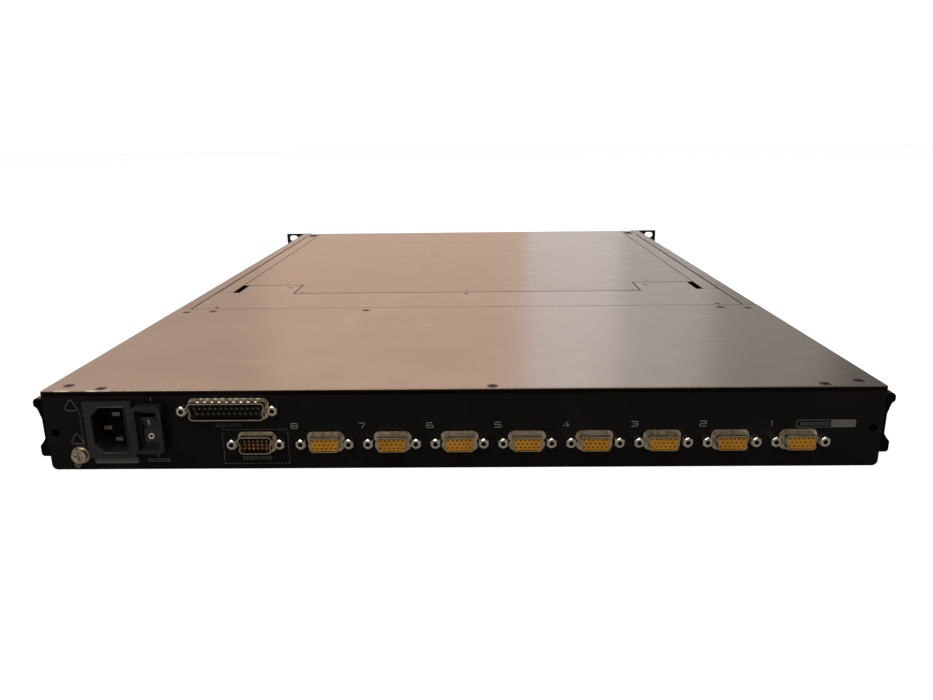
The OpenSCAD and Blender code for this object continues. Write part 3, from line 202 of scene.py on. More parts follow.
@dataclass(frozen=True)
class MetallicPaint(Finish):
    """Sprayed satin paint with aluminium flake on sheet steel.

    The flake gives a soft sheen that takes the colour of what stands around it; handling leaves
    patches of uneven gloss, hairlines and a few specks.
    """

    light: str = "#8a7d72"
    dark: str = "#7f7368"
    roughness: float = 0.22
    metallic: float = 0.9
    # Where the bright edge runs (partly wear, partly a painted highlight), and the height below which
    # the paint turns near black (partly the body's black, partly painted shade in the seams).
    wear_and_highlight_y: float | None = None
    black_and_shade_below: float = 0.0435
    # Real flake is about 0.04 mm across; it is drawn at 0.7 mm so that it shows at all.
    flake_mm: float = 0.7
    smudge_mm: float = 70
    wipe_mm: float = 22
    hairline_mm: float = 46
    speck_mm: float = 26
    peel_mm: float = 1.3
    # Sheet never lies quite flat: broad waves lie under the fine orange peel.
    wave_mm: float = 160

    def shade(self, tree: Tree, place: Socket) -> bpy.types.Node:
        """Return satin metallic paint with smudges, hairlines and specks."""
        cloud = self.patches(tree, place, self.smudge_mm, 0.0, 1.0, (0.35, 0.68), 4.0)
        body = add_node(tree, "ShaderNodeMix", {0: cloud, 6: srgb(self.dark), 7: srgb(self.light)},
                        data_type="RGBA").outputs[2]
        sparkle = self.patches(tree, place, self.flake_mm, 0.0, 0.16, (0.60, 0.74), 1.0)
        body = add_node(tree, "ShaderNodeMix", {0: sparkle, 6: body, 7: srgb("#d9d2ca")},
                        data_type="RGBA").outputs[2]
        body = self._marks(tree, place, body)
        # A bright edge along the rear edge near the right corner: partly rubbed wear, partly a painted
        # highlight on the bend.
        if self.wear_and_highlight_y is not None:
            body = self._wear_and_highlight(tree, place, body, self.wear_and_highlight_y)
        # Below the top plane the paint turns near black: partly the black of the folded sides and cut
        # edges, partly painted shade in the seams between the plates.
        height = add_node(tree, "ShaderNodeSeparateXYZ", {0: place}).outputs[2]
        top = add_node(tree, "ShaderNodeMapRange", {0: height, 1: self.black_and_shade_below - 0.1 * MM,
                                                    2: self.black_and_shade_below + 0.1 * MM, 3: 0.0, 4: 1.0})
        body = add_node(tree, "ShaderNodeMix", {0: top.outputs[0], 6: srgb("#0d0c0c"), 7: body},
                        data_type="RGBA").outputs[2]
        gloss = self.patches(tree, place, self.wipe_mm, self.roughness - 0.02, self.roughness + 0.03,
                             (0.3, 0.72))
        patch = self.patches(tree, place, self.smudge_mm, -0.02, 0.03, detail=4.0)
        rough = add_node(tree, "ShaderNodeMath", {0: gloss, 1: patch}, operation="ADD").outputs[0]
        waves = self.texture(tree, place, self.wave_mm, 0.5, 0.2, 1.0)
        peel = add_node(tree, "ShaderNodeBump",
                        {"Height": self.grain(tree, place, self.peel_mm), "Distance": 0.012 * MM,
                         "Strength": 0.6, "Normal": waves})
        return add_node(tree, "ShaderNodeBsdfPrincipled",
                        {"Base Color": body, "Metallic": self.metallic, "Roughness": rough,
                         "Normal": peel.outputs[0]})

    def _marks(self, tree: Tree, place: Socket, body: Socket) -> Socket:
        """Draw faint hairlines and specks on the paint.

        Args:
            tree: The material's node tree.
            place: Where on the piece.
            body: The paint's colour.

        Returns:
            The colour with the marks.
        """
        line = self.patches(tree, place, self.hairline_mm, 0.0, 1.0, (0.70, 0.73), 1.0, (0.5, 16, 1))
        speck = add_node(tree, "ShaderNodeTexVoronoi",
                         {"Vector": place, "Scale": 1 / (self.speck_mm * MM)})
        dot = add_node(tree, "ShaderNodeMapRange",
                       {0: speck.outputs["Distance"], 1: 0.030, 2: 0.018, 3: 0.0, 4: 1.0}).outputs[0]
        marked = add_node(tree, "ShaderNodeMath", {0: line, 1: dot}, operation="MAXIMUM").outputs[0]
        faint = add_node(tree, "ShaderNodeMath", {0: marked, 1: 0.16}, operation="MULTIPLY").outputs[0]
        return add_node(tree, "ShaderNodeMix", {0: faint, 6: body, 7: srgb("#cfc6bc")},
                        data_type="RGBA").outputs[2]

    def _wear_and_highlight(self, tree: Tree, place: Socket, body: Socket, wear_and_highlight_y: float) -> Socket:
        """Paint a bright edge along the panel's rear edge, near its right corner: partly rubbed wear,
        partly a painted highlight on the bend.

        Args:
            tree: The material's node tree.
            place: Where on the piece.
            body: The paint's colour.
            wear_and_highlight_y: Where the edge is.

        Returns:
            The colour with the bright edge.
        """
        axes = add_node(tree, "ShaderNodeSeparateXYZ", {0: place})
        edge = add_node(tree, "ShaderNodeMapRange", {0: axes.outputs[1], 1: wear_and_highlight_y - 1.4 * MM,
                                                     2: wear_and_highlight_y - 0.3 * MM, 3: 0.0, 4: 1.0}).outputs[0]
        corner = add_node(tree, "ShaderNodeMapRange",
                          {0: axes.outputs[0], 1: 0.168, 2: 0.200, 3: 0.0, 4: 1.0}).outputs[0]
        rub_and_highlight_patches = self.patches(tree, place, 9, 0.0, 1.0, (0.42, 0.6), 4.0)
        near = add_node(tree, "ShaderNodeMath", {0: edge, 1: corner}, operation="MULTIPLY").outputs[0]
        wear_and_highlight = add_node(tree, "ShaderNodeMath", {0: near, 1: rub_and_highlight_patches}, operation="MULTIPLY").outputs[0]
        return add_node(tree, "ShaderNodeMix", {0: wear_and_highlight, 6: body, 7: srgb("#e6ddd2")},
                        data_type="RGBA").outputs[2]


@dataclass(frozen=True)
class PowderCoat(Finish):
    """Black powder coat baked on sheet steel: satin, with a fine orange peel and a little dust."""

    dark: str = "#070708"
    dust: str = "#101011"
    roughness: float = 0.42
    specular: float = 0.16
    # The powder flows to a peel about 0.9 mm from crest to crest.
    peel_mm: float = 0.9
    depth_mm: float = 0.03
    dust_mm: float = 24
    gloss_mm: float = 38

    def shade(self, tree: Tree, place: Socket) -> bpy.types.Node:
        """Return powder coat with peel, dust and uneven gloss."""
        settled = self.patches(tree, place, self.dust_mm, 0.0, 0.7, (0.46, 0.72), 5.0)
        body = add_node(tree, "ShaderNodeMix", {0: settled, 6: srgb(self.dark), 7: srgb(self.dust)},
                        data_type="RGBA").outputs[2]
        rough = self.patches(tree, place, self.gloss_mm, self.roughness - 0.07, self.roughness + 0.08)
        return add_node(tree, "ShaderNodeBsdfPrincipled",
                        {"Base Color": body, "Metallic": 0.0, "Roughness": rough, "IOR": 1.5,
                         "Specular IOR Level": self.specular,
                         "Normal": self.texture(tree, place, self.peel_mm, self.depth_mm, detail=3.0)})


@dataclass(frozen=True)
class PlatedSteel(Finish):
    """Nickel or zinc plate on pressed or turned steel: bright, with faint drawing lines and tarnish."""

    light: str = "#d6cfc3"
    dark: str = "#a79d8d"
    roughness: float = 0.28
    lines: Triple = (1, 1, 9)
    lines_mm: float = 3.0
    bore_shade_mm: float = 0.0
    tarnish_mm: float = 2.6

    def shade(self, tree: Tree, place: Socket) -> bpy.types.Node:
        """Return bright plate with tarnished patches, fine lines and painted shade in its bores."""
        tarnish = self.patches(tree, place, self.tarnish_mm, 0.0, 1.0, (0.36, 0.66), 4.0)
        body = add_node(tree, "ShaderNodeMix", {0: tarnish, 6: srgb(self.light), 7: srgb(self.dark)},
                        data_type="RGBA").outputs[2]
        if self.bore_shade_mm:
            # Bores and inner corners are drawn nearly black from how closed in they are: painted shade.
            open_air = add_node(tree, "ShaderNodeAmbientOcclusion", {"Distance": self.bore_shade_mm * MM},
                                only_local=True, samples=8).outputs["AO"]
            unshaded = add_node(tree, "ShaderNodeMapRange", {0: open_air, 1: 0.45, 2: 0.8, 3: 0.0, 4: 1.0})
            body = add_node(tree, "ShaderNodeMix", {0: unshaded.outputs[0], 6: srgb("#1a1613"), 7: body},
                            data_type="RGBA").outputs[2]
        rough = self.patches(tree, place, self.lines_mm, self.roughness - 0.07, self.roughness + 0.10,
                             stretch=self.lines)
        drawn = self.texture(tree, place, self.lines_mm, 0.01, 0.5, 3.0, self.lines)
        return add_node(tree, "ShaderNodeBsdfPrincipled",
                        {"Base Color": body, "Metallic": 1.0, "Roughness": rough, "Normal": drawn})


@dataclass(frozen=True)
class MouldedPlastic(Finish):
    """Injection-moulded ABS, nylon or polyester: even colour, a spark-eroded grain, rubbed corners."""

    colour: str = "#141416"
    lighter: str = "#1c1c1f"
    roughness: float = 0.42
    spark_mm: float = 0.5
    depth_mm: float = 0.02
    coat: float = 0.0
    glow: str | None = None
    flow_mm: float = 11
    gloss_mm: float = 19

    def shade(self, tree: Tree, place: Socket) -> bpy.types.Node:
        """Return moulded plastic with its grain and slight unevenness."""
        flow = self.patches(tree, place, self.flow_mm, 0.0, 1.0, (0.35, 0.7))
        body = add_node(tree, "ShaderNodeMix", {0: flow, 6: srgb(self.colour), 7: srgb(self.lighter)},
                        data_type="RGBA").outputs[2]
        rough = self.patches(tree, place, self.gloss_mm, self.roughness - 0.05, self.roughness + 0.07)
        inputs = {"Base Color": body, "Metallic": 0.0, "Roughness": rough, "IOR": 1.49,
                  "Coat Weight": self.coat, "Coat Roughness": 0.12,
                  "Normal": self.texture(tree, place, self.spark_mm, self.depth_mm)}
        if self.glow:
            inputs.update({"Emission Color": srgb(self.glow), "Emission Strength": 0.06})
        return add_node(tree, "ShaderNodeBsdfPrincipled", inputs)


@dataclass(frozen=True)
class SolderMask(Finish):
    """Solder mask over etched copper on glass laminate: glossy, with raised tracks and pads."""

    mask: str = "#0f4a2a"
    track: str = "#1d6b40"
    pad: str = "#c9b27a"
    # Real tracks are 0.25 mm wide; they are drawn at 1.4 mm pitch so that they read as tracks.
    track_mm: float = 1.4
    block_mm: float = 9
    via_mm: float = 5.5

    def shade(self, tree: Tree, place: Socket) -> bpy.types.Node:
        """Return a board surface with tracks, pads and weave."""
        block = add_node(tree, "ShaderNodeTexVoronoi",
                         {"Vector": place, "Scale": 1 / (self.block_mm * MM), "Randomness": 0.55},
                         distance="MANHATTAN")
        bands = add_node(tree, "ShaderNodeTexWave",
                         {"Vector": place, "Scale": 1 / (self.track_mm * MM * math.tau),
                          "Distortion": 0.0}, bands_direction="X")
        turn = add_node(tree, "ShaderNodeMath", {0: block.outputs["Distance"], 1: bands.outputs[1]},
                        operation="MULTIPLY").outputs[0]
        copper = add_node(tree, "ShaderNodeMapRange",
                          {0: turn, 1: 0.16, 2: 0.20, 3: 0.0, 4: 1.0}).outputs[0]
        body = add_node(tree, "ShaderNodeMix", {0: copper, 6: srgb(self.mask), 7: srgb(self.track)},
                        data_type="RGBA").outputs[2]
        vias = add_node(tree, "ShaderNodeTexVoronoi", {"Vector": place, "Scale": 1 / (self.via_mm * MM)})
        dot = add_node(tree, "ShaderNodeMapRange",
                       {0: vias.outputs["Distance"], 1: 0.12, 2: 0.09, 3: 0.0, 4: 1.0}).outputs[0]
        body = add_node(tree, "ShaderNodeMix", {0: dot, 6: body, 7: srgb(self.pad)},
                        data_type="RGBA").outputs[2]
        raised = add_node(tree, "ShaderNodeBump",
                          {"Height": copper, "Distance": 0.05 * MM, "Strength": 0.6})
        return add_node(tree, "ShaderNodeBsdfPrincipled",
                        {"Base Color": body, "Roughness": 0.3, "IOR": 1.5, "Normal": raised.outputs[0]})


@dataclass(frozen=True)
class ScreenGlass(Finish):
    """Anti-glare glass over a liquid-crystal panel that is off: near black, with a soft sheen."""

    # The panel's dots are 0.26 mm apart, so two of them span 0.52 mm; the etch over them is finer.
    dots_mm: float = 0.52
    etch_mm: float = 0.4
    smear_mm: float = 60

    def shade(self, tree: Tree, place: Socket) -> bpy.types.Node:
        """Return dark glass with an etched grain, faint smears and the panel's fine grid."""
        smear = self.patches(tree, place, self.smear_mm, 0.13, 0.24, (0.4, 0.7), 4.0, (1, 0.5, 1))
        grid = add_node(tree, "ShaderNodeTexChecker",
                        {"Vector": place, "Scale": 1 / (self.dots_mm * MM),
                         "Color1": srgb("#0b0d12"), "Color2": srgb("#0e1117")})
        return add_node(tree, "ShaderNodeBsdfPrincipled",
                        {"Base Color": grid.outputs[0], "Roughness": smear, "IOR": 1.52,
                         "Coat Weight": 0.6, "Coat Roughness": 0.08,
                         "Normal": self.texture(tree, place, self.etch_mm, 0.004, 0.4)})


@dataclass(frozen=True)
class BraidedSleeve(Finish):
    """Polyester monofilament braided over a cable bundle: crossing ribs with a dull shine."""

    dark: str = "#0b0b0d"
    light: str = "#35353a"
    strand_mm: float = 1.6

    def shade(self, tree: Tree, place: Socket) -> bpy.types.Node:
        """Return a braid of strands that cross over and under."""
        turned = add_node(tree, "ShaderNodeMapping",
                          {"Vector": place, "Rotation": (0.5, 0.4, math.pi / 4)}).outputs[0]
        weave = add_node(tree, "ShaderNodeTexChecker",
                         {"Vector": turned, "Scale": 1 / (self.strand_mm * MM)}).outputs[1]
        amount = add_node(tree, "ShaderNodeMapRange",
                          {0: weave, 1: 0.0, 2: 1.0, 3: 0.15, 4: 0.7}).outputs[0]
        body = add_node(tree, "ShaderNodeMix", {0: amount, 6: srgb(self.dark), 7: srgb(self.light)},
                        data_type="RGBA").outputs[2]
        rib = self.grain(tree, turned, self.strand_mm / 2, 1.0, (1, 5, 1))
        height = add_node(tree, "ShaderNodeMath", {0: weave, 1: rib}, operation="ADD").outputs[0]
        raised = add_node(tree, "ShaderNodeBump",
                          {"Height": height, "Distance": 0.12 * MM, "Strength": 0.7})
        return add_node(tree, "ShaderNodeBsdfPrincipled",
                        {"Base Color": body, "Roughness": 0.5, "IOR": 1.55, "Normal": raised.outputs[0]})


@dataclass(frozen=True)
class MouldedRubber(Finish):
    """Moulded rubber: matt, slightly greyed, with a soft pebble."""

    colour: str = "#101011"
    bloom_mm: float = 4
    pebble_mm: float = 0.6

    def shade(self, tree: Tree, place: Socket) -> bpy.types.Node:
        """Return matt rubber with bloom on it."""
        bloom = self.patches(tree, place, self.bloom_mm, 0.0, 0.8, (0.4, 0.7), 4.0)
        body = add_node(tree, "ShaderNodeMix", {0: bloom, 6: srgb(self.colour), 7: srgb("#2b2a29")},
                        data_type="RGBA").outputs[2]
        return add_node(tree, "ShaderNodeBsdfPrincipled",
                        {"Base Color": body, "Roughness": 0.78, "IOR": 1.52, "Specular IOR Level": 0.3,
                         "Normal": self.texture(tree, place, self.pebble_mm, 0.05)})


@dataclass(frozen=True)
class SupplyBoard(Finish):
    """A mains supply board: bare laminate below, with wound and moulded parts above it."""

    board_top: float = 0.0096
    part_mm: float = 26
    weave_mm: float = 1.1

    def shade(self, tree: Tree, place: Socket) -> bpy.types.Node:
        """Return laminate with parts coloured by where they stand."""
        height = add_node(tree, "ShaderNodeSeparateXYZ", {0: place}).outputs[2]
        above = add_node(tree, "ShaderNodeMapRange", {0: height, 1: self.board_top + 0.1 * MM,
                                                      2: self.board_top + 0.6 * MM, 3: 0.0, 4: 1.0})
        flat = add_node(tree, "ShaderNodeVectorMath", {0: place, 1: (1, 1, 0)}, operation="MULTIPLY")
        block = add_node(tree, "ShaderNodeTexVoronoi",
                         {"Vector": flat.outputs[0], "Scale": 1 / (self.part_mm * MM)})
        parts = add_node(tree, "ShaderNodeValToRGB", {0: block.outputs["Color"]})
        ramp = parts.color_ramp
        ramp.interpolation = "CONSTANT"
        ramp.elements[0].color, ramp.elements[1].color = srgb("#191a1d"), srgb("#7c828a")
        for spot, colour in ((0.38, "#b98a2c"), (0.55, "#1d2b45"), (0.72, "#7c828a")):
            ramp.elements.new(spot).color = srgb(colour)
        weave = self.patches(tree, place, self.weave_mm, 0.0, 1.0, detail=1.0)
        laminate = add_node(tree, "ShaderNodeMix", {0: weave, 6: srgb("#8a6a33"), 7: srgb("#a5854a")},
                            data_type="RGBA").outputs[2]
        body = add_node(tree, "ShaderNodeMix", {0: above.outputs[0], 6: laminate, 7: parts.outputs[0]},
                        data_type="RGBA").outputs[2]
        return add_node(tree, "ShaderNodeBsdfPrincipled",
                        {"Base Color": body, "Roughness": 0.45,
                         "Normal": self.texture(tree, place, 0.8, 0.05)})


@dataclass(frozen=True)
class PrintedInk(Finish):
    """Pad-printed ink on powder coat: thin, matt, and slightly broken where the coat dips."""

    colour: str = "#a9a9a6"
    thin: str = "#4a4a4a"
    break_mm: float = 0.5
    coat_mm: float = 0.9

    def shade(self, tree: Tree, place: Socket) -> bpy.types.Node:
        """Return matt ink that thins on the coat's grain."""
        cover = self.patches(tree, place, self.break_mm, 0.0, 1.0, (0.34, 0.56))
        body = add_node(tree, "ShaderNodeMix", {0: cover, 6: srgb(self.thin), 7: srgb(self.colour)},
                        data_type="RGBA").outputs[2]
        return add_node(tree, "ShaderNodeBsdfPrincipled",
                        {"Base Color": body, "Roughness": 0.6, "IOR": 1.45,
                         "Normal": self.texture(tree, place, self.coat_mm, 0.02)})


BRONZE = MetallicPaint("Satin metallic paint on steel", wear_and_highlight_y=REAR_Y)
# Below the very top of the lid, its trims and the rails the paint turns near black: painted shade in the
# gaps beside them, and the black of their sides.
SEAM_SHADE_AND_BLACK_BELOW = 0.04385
# The lid's paint is the cover's paint drawn a shade darker, as painted shade.
SHADED_LID_PAINT = MetallicPaint("Satin metallic paint on lid", "#847667", "#796c5e", black_and_shade_below=SEAM_SHADE_AND_BLACK_BELOW)
RAIL_PAINT = MetallicPaint("Satin metallic paint on rolled rail", "#82766b", "#776b61", 0.26,
                           black_and_shade_below=SEAM_SHADE_AND_BLACK_BELOW)
PANEL_COAT = PowderCoat("Black powder coat on panel")
CHASSIS_COAT = PowderCoat("Black powder coat on chassis", "#101012", "#1e1e20", 0.5)
EAR_COAT = PowderCoat("Matt black powder coat on ears", "#0d0d0f", "#202022", 0.6, 0.3, 1.3, 0.05)
NICKEL = PlatedSteel("Nickel plate on drawn shell", "#d9d0c1", "#b5a994", 0.16)
# The turned screws get painted shade in their bores.
JACK_NICKEL = PlatedSteel("Nickel plate on turned screw", "#ece7de", "#c9c0b2", 0.16, (1, 8, 1), 1.5,
                          bore_shade_mm=2.2)
ZINC = PlatedSteel("Zinc plate on cold-rolled steel", "#c9cac8", "#9fa19f", 0.34, (9, 1, 1), 4.0)
SCREW_ZINC = PlatedSteel("Zinc plate on machine screw", "#d5ceb9", "#a89c82", 0.3, (1, 1, 1), 1.2)
BLACK_OXIDE = PlatedSteel("Black oxide on screw", "#3d3935", "#262321", 0.4, (1, 1, 1), 1.2)
BALL_STEEL = PlatedSteel("Polished bearing steel", "#dcdcdc", "#c6c6c6", 0.12)
BRASS = PlatedSteel("Nickelled brass", "#cdb77c", "#a58f58", 0.3)
TIN = PlatedSteel("Tin plate on pin", "#e2ddd2", "#bcb4a4", 0.2)
HINGE_STEEL = PlatedSteel("Satin steel on hinge", "#8e8f92", "#6c6d70", 0.4)
ARM_PAINT = MetallicPaint("Grey enamel on pressed arm", "#75797f", "#62666c", 0.45, 0.35, None, -1.0)
AMBER = MouldedPlastic("Amber polyester on port insert", "#a8740f", "#b98422", 0.42, 0.6, 0.015)
BROWN = MouldedPlastic("Brown-amber polyester on port insert", "#6d3f10", "#8a5518", 0.36, 0.6, 0.015)
INSERT_BLACK = MouldedPlastic("Black polyester on port insert", "#0b0b0c", "#141415", 0.4)
INLET_NYLON = MouldedPlastic("Black nylon on mains inlet", "#15161b", "#1e2026", 0.36, 0.7, 0.03)
SWITCH_NYLON = MouldedPlastic("Black nylon on switch guard", "#101115", "#191a1f", 0.3, 0.8, 0.02)
ROCKER_NYLON = MouldedPlastic("Polished black nylon on rocker", "#0c0d10", "#131418", 0.2, 1.2, 0.01,
                              coat=0.3)
CHIP = MouldedPlastic("Epoxy on chip", "#121213", "#1c1c1d", 0.5, 0.4, 0.02)
FRAME_ABS = MouldedPlastic("Textured black plastic on keyboard frame", "#17181b", "#202226", 0.5, 0.6,
                           0.06)
TRAY_ABS = MouldedPlastic("Black plastic on key tray", "#1e1f21", "#29292c", 0.55, 0.8, 0.04)
KEY_ABS = MouldedPlastic("Fine-textured plastic on keycap", "#202125", "#2a2b30", 0.46, 0.45, 0.05)
PAD_FILM = MouldedPlastic("Silky film on touchpad", "#26282e", "#2c2e35", 0.4, 0.3, 0.02)
SOFT_KEY = MouldedPlastic("Satin plastic on button", "#3b3d44", "#484a52", 0.42, 0.4, 0.03)
RED_LENS = MouldedPlastic("Translucent red lens", "#4a0e0e", "#5e1412", 0.22, 1.0, 0.01, 0.5, "#ff3020")
CATCH_ABS = MouldedPlastic("Black plastic on catch", "#111214", "#1a1b1e", 0.4, 0.6, 0.04)
FRONT_ABS = MouldedPlastic("Textured plastic on front", "#131416", "#1d1e21", 0.46, 0.7, 0.06)
BEZEL_ABS = MouldedPlastic("Textured plastic on screen bezel", "#17181b", "#212327", 0.48, 0.6, 0.05)

FINISH_OF_SLOT: dict[str, Finish] = {
    "bronze_paint": BRONZE, "panel_black": PANEL_COAT, "chassis_black": CHASSIS_COAT,
    "rail_paint": RAIL_PAINT, "ear_black": EAR_COAT, "screw_black": BLACK_OXIDE,
    "screw_zinc": SCREW_ZINC, "slide_zinc": ZINC, "ball_steel": BALL_STEEL,
    "board_green": SolderMask("Green solder mask on board"), "chip_black": CHIP,
    "standoff_brass": BRASS, "shell_nickel": NICKEL, "insert_amber": AMBER,
    "insert_brown": BROWN, "insert_black": INSERT_BLACK, "jack_nickel": JACK_NICKEL,
    "inlet_black": INLET_NYLON, "pin_plated": TIN, "switch_black": SWITCH_NYLON,
    "rocker_black": ROCKER_NYLON, "ground_zinc": SCREW_ZINC,
    "supply_board": SupplyBoard("Laminate and wound parts on supply"), "arm_grey": ARM_PAINT,
    "cable_sleeve": BraidedSleeve("Braided polyester sleeve"), "frame_plastic": FRAME_ABS,
    "key_tray": TRAY_ABS, "keycap": KEY_ABS, "touch_surface": PAD_FILM, "soft_key": SOFT_KEY,
    "light_red": RED_LENS, "catch_black": CATCH_ABS, "front_plastic": FRONT_ABS,
    "stop_rubber": MouldedRubber("Moulded rubber on stop"), "hinge_steel": HINGE_STEEL,
    "bezel_plastic": BEZEL_ABS, "screen": ScreenGlass("Anti-glare glass on screen"),
}
INK = PrintedInk("Grey pad-printed ink", "#8d8d8b")
DIM_INK = PrintedInk("Dim pad-printed ink", "#636362")
BRIGHT_INK = PrintedInk("White pad-printed ink", "#e4e4e2")
# The inlet's blades are drawn in darker tin: partly tarnish, partly painted shade deep in the mouth.
TARNISHED_AND_SHADED_TIN = PlatedSteel("Tin plate on inlet blade, tarnished and in painted shade", "#8a8478", "#5f5a52", 0.35)


# ------------------------------------------------------------------ shapes


class Body(Enum):
    """The CAD bodies that carry new pieces."""

    BASE = "base"
    ROCKER = "rocker"


# Turns a shape that is drawn in its own X and Y to face the rear.
FACE_REAR = Matrix(((1, 0, 0, 0), (0, 0, -1, 0), (0, 1, 0, 0), (0, 0, 0, 1)))


def add_piece(name: str, mesh: bpy.types.Mesh, finish: Finish, body: Body) -> None:
    """Add a new piece, dress it and let it ride on its body.

    Args:
        name: Name of the piece.
        mesh: Its mesh, in place.
        finish: What it wears.
        body: The CAD body that carries it.
    """
    piece = bpy.data.objects.new(name, mesh)
    bpy.context.scene.collection.objects.link(piece)
    mesh.materials.append(finish.make())
    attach(piece, body.value)
    LOG.info("%s rides on %s, in %s", name, body.value, finish.name)


def mesh_of_curve(name: str, curve: bpy.types.Curve, lines: Strokes) -> bpy.types.Mesh:
    """Draw lines on a curve and turn it into a mesh.

    Args:
        name: Name of the mesh.
        curve: The curve, with its thickness and rims set.
        lines: Each line's points in millimetres, and whether it closes.

    Returns:
        The mesh, lying in X and Y about Z zero, in metres.
    """
    for points, closed in lines:
        spline = curve.splines.new("POLY")
        spline.points.add(len(points) - 1)
        for point, (x, y) in zip(spline.points, points):
            point.co = (x * MM, y * MM, 0, 1)
        spline.use_cyclic_u = closed
    holder = bpy.data.objects.new(name, curve)
    mesh = bpy.data.meshes.new_from_object(holder)
    bpy.data.objects.remove(holder)
    bpy.data.curves.remove(curve)
    mesh.name = name
    return mesh


def flat_mesh(name: str, loop: Loop, thickness: float) -> bpy.types.Mesh:
    """Cut a flat shape out of an outline.

    Args:
        name: Name of the mesh.
        loop: The outline, in millimetres.
        thickness: Full thickness in millimetres.

    Returns:
        The mesh, lying in X and Y about Z zero, in metres.
    """
    curve = bpy.data.curves.new(name, "CURVE")
    curve.dimensions = "2D"
    curve.fill_mode = "BOTH"
    curve.extrude = thickness / 2 * MM
    return mesh_of_curve(name, curve, [(loop, True)])


def stroke_mesh(name: str, strokes: Strokes, width: float, raised: float) -> bpy.types.Mesh:
    """Draw printed lines as flat ribbons with round ends.

    Args:
        name: Name of the mesh.
        strokes: Each line's points in millimetres, and whether it closes.
        width: Width of a line in millimetres.
        raised: How far the ink stands proud, in millimetres.

    Returns:
        The mesh, lying in X and Y about Z zero, in metres.
    """
    curve = bpy.data.curves.new(name, "CURVE")
    curve.dimensions = "3D"
    curve.bevel_depth = width / 2 * MM
    curve.bevel_resolution = 2
    curve.use_fill_caps = True
    mesh = mesh_of_curve(name, curve, strokes)
    mesh.transform(Matrix.Diagonal((1, 1, raised / (width / 2), 1)))
    return mesh


def join_meshes(name: str, meshes: Iterable[tuple[bpy.types.Mesh, Matrix]]) -> bpy.types.Mesh:
    """Put several meshes into one.

    Args:
        name: Name of the new mesh.
        meshes: Each mesh and where it goes.

    Returns:
        The joined mesh.
    """
    whole = bmesh.new()
    for mesh, where in meshes:
        moved = mesh.copy()
        moved.transform(where)
        whole.from_mesh(moved)
        bpy.data.meshes.remove(moved)
    bmesh.ops.remove_doubles(whole, verts=whole.verts, dist=0.002 * MM)
    mesh = bpy.data.meshes.new(name)
    whole.to_mesh(mesh)
    whole.free()
    return mesh


def close_mesh(name: str, shape: bmesh.types.BMesh) -> bpy.types.Mesh:
    """Turn a shape's faces outwards, smooth them and write its mesh.

    Args:
        name: Name of the mesh.
        shape: The shape, which is freed.

    Returns:
        The mesh.
    """
    bmesh.ops.recalc_face_normals(shape, faces=shape.faces)
    for face in shape.faces:
        face.smooth = True
    mesh = bpy.data.meshes.new(name)
    shape.to_mesh(mesh)
    shape.free()
    return mesh


def turned_mesh(name: str, profile: Loop, sides: int) -> bpy.types.Mesh:
    """Turn a profile round Z, as on a lathe.

    Args:
        name: Name of the mesh.
        profile: Radius and height of each step, in millimetres, from one end to the other.
        sides: Steps round.

    Returns:
        The mesh, in metres.
    """
    shape = bmesh.new()
    rings = []
    for radius, height in profile:
        if not radius:
            rings.append([shape.verts.new((0, 0, height * MM))])
            continue
        rings.append([shape.verts.new((radius * MM * math.cos(math.tau * k / sides),
                                       radius * MM * math.sin(math.tau * k / sides), height * MM))
                      for k in range(sides)])
    for low, high in zip(rings, rings[1:]):
        for k in range(sides):
            n = (k + 1) % sides
            corners = [low[k % len(low)], low[n % len(low)], high[n % len(high)], high[k % len(high)]]
            unique = list(dict.fromkeys(corners))
            if len(unique) > 2:
                shape.faces.new(unique)
    return close_mesh(name, shape)


def loft_mesh(name: str, rings: Sequence[tuple[Loop, float]]) -> bpy.types.Mesh:
    """Join outlines of equal count into a drawn skin that faces the rear.

    Args:
        name: Name of the mesh.
        rings: Each outline in X and Z, and how far it stands behind the rear panel, in millimetres.

    Returns:
        The mesh, in place, in metres.
    """
    shape = bmesh.new()
    rows = [[shape.verts.new((x * MM, REAR_Y + out * MM, z * MM)) for x, z in loop]
            for loop, out in rings]
    for low, high in zip(rows, rows[1:]):
        for k in range(len(low)):
            n = (k + 1) % len(low)
            shape.faces.new((low[k], low[n], high[n], high[k]))
    return close_mesh(name, shape)


def rounded_loop(corners: Loop, radius: float, steps: int = 6) -> list[Pair]:
    """Round the corners of an outline.

    Args:
        corners: The sharp outline, in millimetres.
        radius: Radius of each corner, in millimetres.
        steps: Steps round each corner.

    Returns:
        The rounded outline.
    """
    loop = []
    count = len(corners)
    for k in range(count):
        here = Vector(corners[k])
        back = (Vector(corners[k - 1]) - here).normalized()
        ahead = (Vector(corners[(k + 1) % count]) - here).normalized()
        half = back.angle(ahead) / 2
        reach = radius / math.tan(half)
        centre = here + (back + ahead).normalized() * radius / math.sin(half)
        first, last = here + back * reach - centre, here + ahead * reach - centre
        for step in range(steps + 1):
            ray = first.slerp(last, step / steps)
            loop.append(tuple(centre + ray))
    return loop


def ring_loop(x: float, z: float, wide: float, high: float, steps: int) -> list[Pair]:
    """Return a round or oval outline, from its middle, its two radii and its steps round."""
    turns = [k * math.tau / steps for k in range(steps)]
    return [(x + wide * math.cos(turn), z + high * math.sin(turn)) for turn in turns]


def box_corners(x0: float, x1: float, z0: float, z1: float) -> list[Pair]:
    """Return the corners of an upright rectangle."""
    return [(x0, z1), (x1, z1), (x1, z0), (x0, z0)]


# ------------------------------------------------------------------ the object


